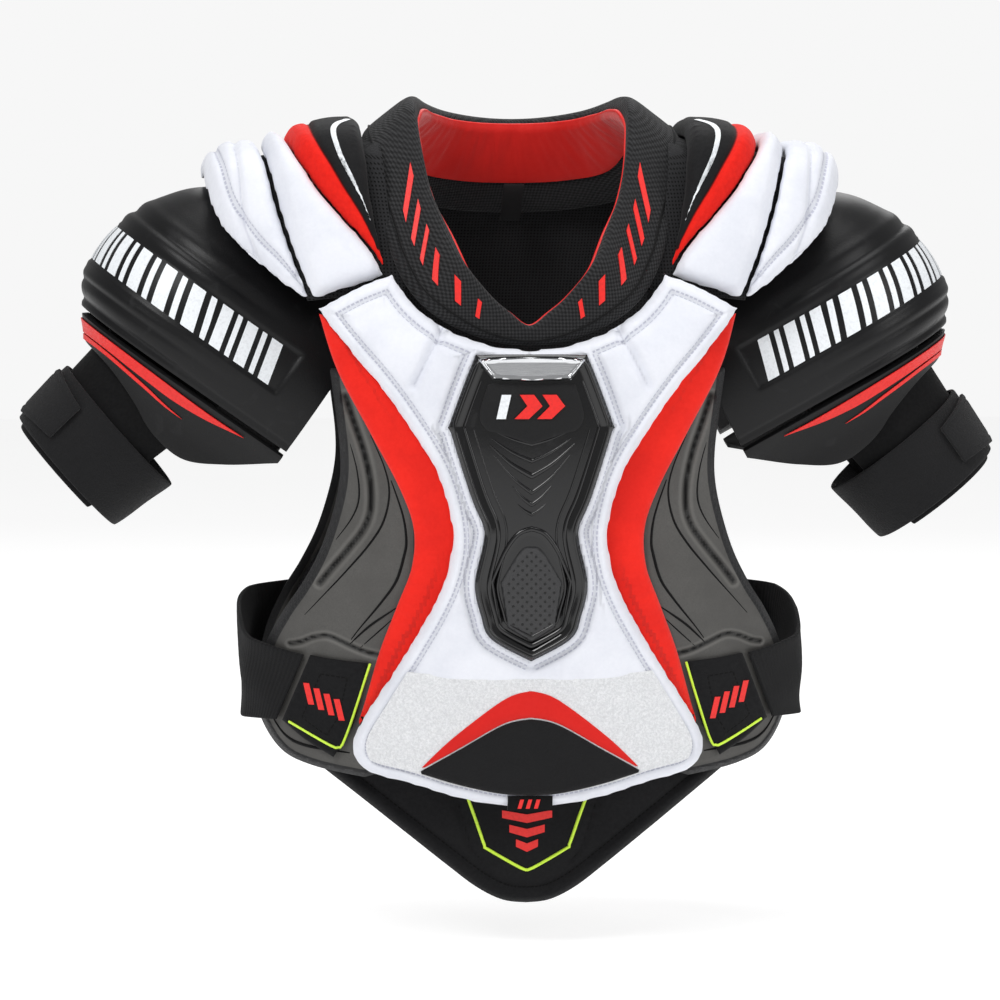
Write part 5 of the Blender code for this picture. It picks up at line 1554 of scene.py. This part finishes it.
# a folded webbing loop hanging inside the back of the neck
def makeHangLoop():
    low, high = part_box("hang_loop")
    middle, width = (low + high) / 2, high.x - low.x
    turn = np.linspace(0, 2 * np.pi, 33)
    reach, drop = (high.y - low.y) / 2, (high.z - low.z) / 2
    rows = []
    for share in np.linspace(-0.5, 0.5, 7):
        rows.append([(middle.x + share * width + 0.0016 * math.sin(t), middle.y + reach * math.cos(t)
                      * 0.92, middle.z + drop * np.sign(math.sin(t)) * abs(math.sin(t)) ** 0.7)
                     for t in turn])
    piece = paramSheet("hangLoop", rows)
    piece.data.flip_normals()
    reshape(piece, weld, turnOut)
    applyModifier(piece, "SOLIDIFY", thickness=0.0014, offset=-1)
    shadeSoft(piece, 60)
    wear(piece, "blackElastic", "yoke", ["hang_loop"])


makeCollar()
makeHangLoop()
print("collar made")


strap = {"offset": 0.0160, "wall": 0.003, "tuck": 0.012, "lands": 0.60, "backReach": 0.138,
         "edge": ((0.1465, -0.314), (0.1655, -0.360)), "tab": 0.0025}
strapHeights = [(-1.0, -0.314, -0.360), (-0.4, -0.302, -0.362), (0.0, -0.292, -0.356),
                (0.5, -0.283, -0.348), (1.0, -0.280, -0.343)]
tabLine = curveThrough([
    (0.108, -0.318, "corner"), (0.1270, -0.3165), (0.1465, -0.314, "corner"), (0.1655, -0.360, "corner"),
    (0.150, -0.3720), (0.131, -0.383, "corner"), (0.1230, -0.3690), (0.1164, -0.356),
    (0.108, -0.318, "corner")], 0.002)[:-1]
tabPiping = [(0.1065, -0.3182), (0.1190, -0.3578), (0.1252, -0.3742), (0.1279, -0.3759),
             (0.1333, -0.3748), (0.1610, -0.3604)]


def angleReaching(x, height, offset):
    halfWidth, _, power = formAt(height)
    return np.degrees(np.arccos((x / (halfWidth + offset)) ** (power / 2)))


def strapRow(turn):
    top, low = (np.interp(turn, [row[0] for row in strapHeights], [row[k] for row in strapHeights])
                for k in (1, 2))
    share = np.linspace(0, 1, 15)
    height = top + (low - top) * share
    edge = strap["edge"][0][0] + 0.002 + (strap["edge"][1][0] - strap["edge"][0][0]) * share
    offset = strap["offset"] + strap["wall"]
    front, back = (angleReaching(x, height, strap["offset"]) for x in (edge + 0.0008, strap["backReach"]))
    angle = (front if turn < 0 else back) * turn
    halfWidth, half, power = formAt(height)
    slack = max(0.0, 1 - (turn / strap["lands"]) ** 2) ** 1.5
    wave = 0.0010 * np.sin(share * 9.0 + turn * 5.0) * (1 - turn**4)
    reach = offset - strap["tuck"] * slack + wave
    x = (halfWidth + reach) * np.cos(np.radians(angle)) ** (2 / power)
    y = (half + reach) * np.abs(np.sin(np.radians(angle))) ** (2 / power)
    return np.stack([x, np.copysign(y, angle), height], 1)


# a sheet through rows of points with a wall behind it and rounded edges
def walled(name, rows, wall, edge, outwards, closed=False):
    piece = paramSheet(name, rows, closed=closed)
    if ((normalsOf(piece.data) * outwards(pointsOf(piece.data))).sum()) < 0:
        piece.data.flip_normals()
    applyModifier(piece, "SOLIDIFY", thickness=wall, offset=-1, use_even_offset=True)
    applyModifier(piece, "BEVEL", width=edge, segments=3, limit_method="ANGLE",
                  angle_limit=math.radians(60))
    shadeSoft(piece, 60)
    return piece


def makeStraps():
    rows = [strapRow(turn) for turn in np.linspace(-1, 1, 90)]
    piece = walled("sideStrapLeft", rows, strap["wall"], 0.0011, lambda co: co * (1, 1, 0))
    top = strap["offset"] + strap["tab"]

    def tabTop(uv):
        rim = measured(uv, tabLine)[0]
        return top - 0.0012 * (1 - ease(rim, 0, 0.0018)) - 0.0004 * hump(rim, 0.0042, 0.0010)

    tab = layPad("strapTabLeft", tabLine, 0.0013, onFront, level(strap["offset"]), tabTop)
    markRims(tab, flatPlace(tab), tabLine)
    line = curveThrough(tabPiping, 0.002)
    piping = rope("tabPipingLeft", onFront(line, tabTop(line) + 0.0001), 0.0009)
    for side, sign in sides.items():
        bands = [(piece, "blackElastic", None, f"side_strap_{side}"),
                 (tab, "blackCloth", f"{side}_tab", f"strap_tab_{side}"),
                 (piping, "neonPrint", f"{side}_tab", None)]
        for item, finish, body, node in bands:
            if sign < 0:
                item = mirrored(item, item.name.replace("Left", "Right"))
            wear(item, finish, body, [node] if node else [])
            if body is None:
                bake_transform(item)
        for k in range(4):
            bar = barShape(0.1235 + 0.0068 * k, -0.3575 + 0.0033 * k, 0.0040, 0.0145, 0.0034)
            bar = bar * (sign, 1)
            platelet(f"tabMark{side.title()}{k}", bar, onFront, level(top - 0.001),
                     level(top + 0.0004), "redPrint", f"{side}_tab")


makeStraps()
print("straps made")


cap = {"joint": (0.187, -0.054), "angle": {"left": 61.0, "right": 55.0}, "depth": 0.085, "wide": 0.095,
       "curve": 0.56, "reach": 0.092, "pinch": 0.04, "full": 0.060, "shell": 0.0035, "foam": 0.009,
       "lip": 0.004, "unit": 0.2527}
capProfile = np.array([(-0.046, 0.014), (-0.041, 0.036), (-0.028, 0.057), (-0.006, 0.077),
                       (0.018, 0.0890), (0.044, 0.0950), (0.068, 0.0920), (0.088, 0.0805)])
lipProfile = np.array([(0.0925, 0.0770), (0.102, 0.0680), (0.112, 0.0620), (0.134, 0.0600)])
lipBottom = np.array([(0.0, 0.106), (0.35, 0.112), (0.50, 0.121), (0.62, 0.131), (0.74, 0.133),
                      (0.86, 0.120), (1.0, 0.098)])


# a smooth reading of a table of (place, value)
def smoothRead(table, at):
    x, y = table[:, 0], table[:, 1]
    slope = np.gradient(y, x)
    i = np.clip(np.searchsorted(x, at, side="right") - 1, 0, len(x) - 2)
    span = x[i + 1] - x[i]
    t = np.clip((at - x[i]) / span, 0, 1)
    return (y[i] * (2 * t**3 - 3 * t**2 + 1) + slope[i] * span * (t**3 - 2 * t**2 + t)
            + y[i + 1] * (3 * t**2 - 2 * t**3) + slope[i + 1] * span * (t**3 - t**2))


def capSkin(down, around, table):
    radius = smoothRead(table, down)
    depth = cap["depth"] * (radius / cap["wide"]) ** 0.9
    share = np.abs(around)
    turn = np.minimum(share / cap["curve"], 1) * np.pi / 2
    k = np.maximum(share - cap["curve"], 0) / (1 - cap["curve"])
    reach = cap["reach"] * np.minimum(1.0, radius / cap["full"])
    x = np.where(share <= cap["curve"], radius * np.cos(turn), -k * reach)
    y = np.where(share <= cap["curve"], depth * np.sin(turn), depth * (1 - cap["pinch"] * k * k))
    return np.stack([x, np.copysign(y, around), -down], 1)


# pattern over the cap: run round it from the outer side, distance down the arm
def capPlace(uv, proud, table=capProfile):
    around, down = uv[:, 0] / cap["unit"], uv[:, 1]
    at = capSkin(down, around, table)
    side = capSkin(down, around + 0.004, table) - capSkin(down, around - 0.004, table)
    below = capSkin(down + 0.0008, around, table) - capSkin(down - 0.0008, around, table)
    normal = np.cross(below, side)
    normal /= np.maximum(np.linalg.norm(normal, axis=1), 1e-9)[:, None]
    return at + normal * np.asarray(proud)[:, None]


# the same over the lip, with the share of its height in place of the distance
def lipPlace(uv, proud):
    end = smoothRead(lipBottom, np.abs(uv[:, 0] / cap["unit"]))
    down = lipProfile[0, 0] + uv[:, 1] * (end - lipProfile[0, 0])
    return capPlace(np.stack([uv[:, 0], down], 1), proud, lipProfile)


def capRelief(uv):
    around, down = np.abs(uv[:, 0] / cap["unit"]), uv[:, 1]
    band = ease(down, 0.0255, 0.0285) * (1 - ease(down, 0.0575, 0.0605)) * (1 - ease(around, 0.855, 0.870))
    lines = -0.0014 * band
    fadeOut = 1 - ease(around, 0.45, 0.80)
    for centre, width, proud, tilt in ((0.0185, 0.0036, 0.0009, 0.004), (0.0050, 0.0046, 0.0010, 0.006),
                                       (0.0672, 0.0028, 0.0008, -0.002), (0.0762, 0.0036, 0.0007, 0.001)):
        lines = lines + proud * hump(down, centre + tilt * around, width) * fadeOut
        lines = lines - 0.0008 * hump(down, centre + tilt * around + width * 1.7, width * 0.5) * fadeOut
    groove = 0.0011 * hump(down, 0.0838, 0.0012)
    return lines - groove


def inward(co):
    return co * (1, 1, 0) + (0.03, 0, 0)


# turns a piece made at the left arm's frame to its side's place
def armPiece(piece, side, bend=None):
    sign = sides[side]
    x, z = cap["joint"]
    place = Matrix.Translation((sign * x, 0, z)) @ Matrix.Rotation(
        sign * math.radians(cap["angle"][side] - 90), 4, "Y")
    if bend is not None:
        place = place @ Matrix.Translation((0, 0, -0.096)) @ Matrix.Rotation(
            -sign * math.radians(bend[side]), 4, "Y")
    co = pointsOf(piece.data) * (sign, 1, 1)
    if sign < 0:
        piece.data.flip_normals()
    turned = np.array(place)
    setPoints(piece.data, co @ turned[:3, :3].T + turned[:3, 3])
    return piece


# each piece on both arms; the right one is the model itself, the left one its copy
def onArms(items, bend=None):
    for side in sides:
        for item, finish, body, node, fill in items:
            own = item if side == "right" else copied(item, item.name)
            own.name = own.data.name = f"{item.name.split('.')[0]}{side.title()}"
            nodes = [f"{node}_{side}"] if node else []
            wear(armPiece(own, side, bend), finish, body.format(side=side), nodes, fill)


# slanted bars in the recess, broad and narrow in turn, from the front round to the back
def capBars():
    shapes, high, low, lean, space = [], 0.0288, 0.0572, 0.0085, 0.0046
    widths = [0.0105, 0.0046] * 17
    x = -(sum(widths) + space * (len(widths) - 1)) / 2
    for wide in widths:
        shapes.append([(x + lean / 2, high), (x + wide + lean / 2, high), (x + wide - lean / 2, low),
                       (x - lean / 2, low)])
        x += wide + space
    return shapes


def makeCaps():
    around = np.linspace(-1, 1, 260)
    downs = np.linspace(-0.046, 0.088, 110)
    pattern = [np.stack([around * cap["unit"], np.full(260, down)], 1) for down in downs]
    shell = walled("capShell", [capPlace(uv, capRelief(uv)) for uv in pattern], cap["shell"], 0.0009,
                   inward)
    shares = np.linspace(0, 1, 22)
    lip = walled("capLip", [lipPlace(np.stack([around * cap["unit"], np.full(260, share)], 1),
                                     np.full(260, 0.0005 * math.sin(math.pi * share))) for share in shares],
                 cap["lip"], 0.0012, inward)
    coarse = np.linspace(-1, 1, 120)
    foamRows = []
    for down in np.linspace(-0.041, 0.088, 40):
        uv = np.stack([coarse * cap["unit"], np.full(120, down)], 1)
        puffed = 0.0006 * np.cos(coarse * 60) * np.cos(down * 300)
        foamRows.append(capPlace(uv, -cap["shell"] - gap + np.minimum(puffed, 0)))
    foam = walled("capFoam", foamRows, cap["foam"], 0.0026, inward)
    bars = []
    for k, shape in enumerate(capBars()):
        decal = cutPattern(f"capBars{k}", cornered(shape, 0.0016), 0.0016)
        raisePad(decal, capPlace, level(-0.0022), lambda uv: capRelief(uv) + 0.0004)
        bars.append(decal)
    useOnly(bars[0])
    for bar in bars:
        bar.select_set(True)
    bpy.ops.object.join()
    shadeSoft(bars[0], 40)
    decals = [(bars[0], "whitePrint", "{side}_cap", None, None)]
    for k, (first, last, low, high, wide) in enumerate((
            (-0.86, 0.86, 0.13, 0.42, 0.26), (-0.66, -0.04, 0.44, 0.86, 0.11),
            (0.04, 0.66, 0.44, 0.86, 0.11))):
        around = np.linspace(first, last, 160)
        away = np.abs(around) / max(abs(first), abs(last))
        middle = low + (high - low) * (1 - away) ** 1.4
        half = wide * np.clip((1 - away) / (1.0 if k == 0 else 0.9), 0, 1) ** 0.85
        rows = [lipPlace(np.stack([around * cap["unit"], middle + half * share], 1),
                         np.full(160, 0.0011)) for share in stripShares]
        decals.append((strip(f"lipStripe{k}", rows, 0.0006), "redPrint", "{side}_cap", None, None))
    onArms([(shell, "capPlastic", "{side}_cap", "cap_shell", None),
            (lip, "mattPlastic", "{side}_cap", "cap_lip", None),
            (foam, "greyFoam", "{side}_cap", "cap_foam", 0.9), *decals])


makeCaps()
print("caps made")


cuff = {"bend": {"left": 10.0, "right": 14.0}, "radius": 0.0555, "depth": 0.0510, "taper": 0.81,
        "length": 0.100, "start": -0.018, "opening": 50.0, "pad": 0.006, "strapFrom": 0.047,
        "strapWidth": 0.049, "strapWall": 0.003, "tabWall": 0.0025}


def cuffSkin(down, grow, angle):
    scale = 1 - (1 - cuff["taper"]) * np.maximum(down, 0) / cuff["length"]
    turn = np.radians(angle)
    return np.stack([(cuff["radius"] * scale + grow) * np.cos(turn),
                     (cuff["depth"] * scale + grow) * np.sin(turn), -down + 0 * angle], 1)


def makeCuffs():
    outwards = lambda co: co * (1, 1, 0)
    first, last = -180 + cuff["opening"], 180 - cuff["opening"]
    angles = np.linspace(first, last, 130)
    rows = []
    for down in np.linspace(cuff["start"], cuff["length"], 60):
        edge = min(down - cuff["start"], cuff["length"] - down)
        roll = 0.0010 * (ease(np.array(edge), 0, 0.004) - 1) - 0.0009 * hump(edge, 0.0075, 0.0014)
        pucker = 0.0005 * np.sin(angles * 0.32) * hump(edge, 0.012, 0.008)
        rows.append(cuffSkin(np.full(130, down), roll + pucker * 0.6, angles))
    pad = walled("bicepPad", rows, cuff["pad"], 0.0020, outwards)
    around = np.linspace(-180, 180, 181)
    rows = []
    for share in np.linspace(0, 1, 22):
        down = cuff["strapFrom"] + cuff["strapWidth"] * share
        sag = 0.0007 * np.sin(np.radians(around) * 3 + share * 4) * math.sin(math.pi * share)
        crown = 0.0007 * math.sin(math.pi * share) ** 0.5
        rows.append(cuffSkin(np.full(181, down), 0.0015 + cuff["strapWall"] + crown + sag, around))
    band = walled("bicepStrap", rows, cuff["strapWall"], 0.0010, outwards, closed=True)
    outer = 0.0015 + cuff["strapWall"] + gap + cuff["tabWall"]
    rows = []
    for share in np.linspace(0, 1, 24):
        turn = np.linspace(-62, -12, 70)
        inset = 0.010 + (0.004 - 0.010) * (turn + 62) / 50
        corner = 0.003 * (1 - ease(-12 - turn, 0, 5))
        low, high = cuff["strapFrom"] + inset + corner, \
            cuff["strapFrom"] + cuff["strapWidth"] - inset - corner
        rim = min(share, 1 - share) * 0.04
        rows.append(cuffSkin(low + (high - low) * share, outer + 0.0006 - 0.0005 * hump(
            rim, 0.0038, 0.0009) + 0 * turn, turn))
    tab = walled("bicepTab", rows, cuff["tabWall"], 0.0009, outwards)
    edge = np.linspace(first, last, 110)
    hem = rope("cuffHem", cuffSkin(np.full(110, cuff["start"] + 0.0070), 0.0001, edge), 0.0006)
    onArms([(pad, "blackCloth", "{side}_cuff", "bicep_pad", 0.8),
            (band, "blackLoop", "{side}_cuff", "bicep_strap", None),
            (tab, "blackLoop", "{side}_cuff_tab", "bicep_strap_tab", None),
            (hem, "blackPad", "{side}_cuff", None, None)], cuff["bend"])


makeCuffs()
print("cuffs made")


panels = [("keyPanel", (-1.5, -2.1, 2.1), 54, (1.3, 1.3)), ("sidePanel", (2.1, -1.6, 1.0), 21, (1.0, 1.6)),
          ("topPanel", (0.2, 0.1, 2.2), 24, (1.8, 1.2)), ("backPanel", (0.4, 2.4, 1.4), 16, (1.6, 1.6))]


def lightPanel(name, place, energy, size, aim=(0, 0, -0.2)):
    bpy.ops.object.light_add(type="AREA", location=place)
    lamp = bpy.context.active_object
    lamp.name = name
    lamp.data.energy = energy
    lamp.data.shape = "RECTANGLE"
    lamp.data.size, lamp.data.size_y = size
    lamp.rotation_euler = (Vector(aim) - lamp.location).to_track_quat("-Z", "Y").to_euler()


def makeStudio():
    bpy.ops.object.select_all(action="DESELECT")
    bpy.ops.mesh.primitive_plane_add(size=14, location=(0, 0, cadBox[0].z - 0.03))
    floor = bpy.context.active_object
    floor.name = "studioFloor"
    finish, tree, shader = newFinish("paleFloor")
    where = addNode(tree, "TexCoord").outputs["Object"]
    base = mixed(tree, grain(tree, where, 1.2), (0.49, 0.49, 0.49, 1), (0.53, 0.53, 0.53, 1))
    plug(shader, Base_Color=base, Roughness=0.9, Emission_Color=(1.0, 1.0, 1.0, 1),
         Emission_Strength=0.70)
    floor.data.materials.append(finish)
    world = bpy.data.worlds.new("studio")
    world.use_nodes = True
    tree = world.node_tree
    seen = addNode(tree, "LightPath").outputs["Is Camera Ray"]  # lit less than it looks
    plug(tree.nodes["Background"], Color=(1.0, 1.0, 1.0, 1),
         Strength=fade(tree, seen, 0.0, 1.0, 0.36, 0.93))
    bpy.context.scene.world = world
    bpy.context.scene.view_settings.view_transform = "Standard"
    for panel in panels:
        lightPanel(*panel)


view = {"aim": (-0.0126, 0, -0.217), "azimuth": -3, "elevation": 4, "distance": 3.0, "lens": 154.3}


def makeCamera():
    azimuth, elevation = math.radians(view["azimuth"]), math.radians(view["elevation"])
    back = Vector((math.sin(azimuth) * math.cos(elevation),
                   -math.cos(azimuth) * math.cos(elevation), math.sin(elevation)))
    bpy.ops.object.camera_add(location=Vector(view["aim"]) + back * view["distance"])
    camera = bpy.context.active_object
    camera.name = "studioCamera"
    camera.rotation_euler = (-back).to_track_quat("-Z", "Y").to_euler()
    camera.data.lens, camera.data.sensor_width = view["lens"], 36
    camera.data.clip_end = 60
    bpy.context.scene.camera = camera


makeStudio()
makeCamera()
print("studio lit")
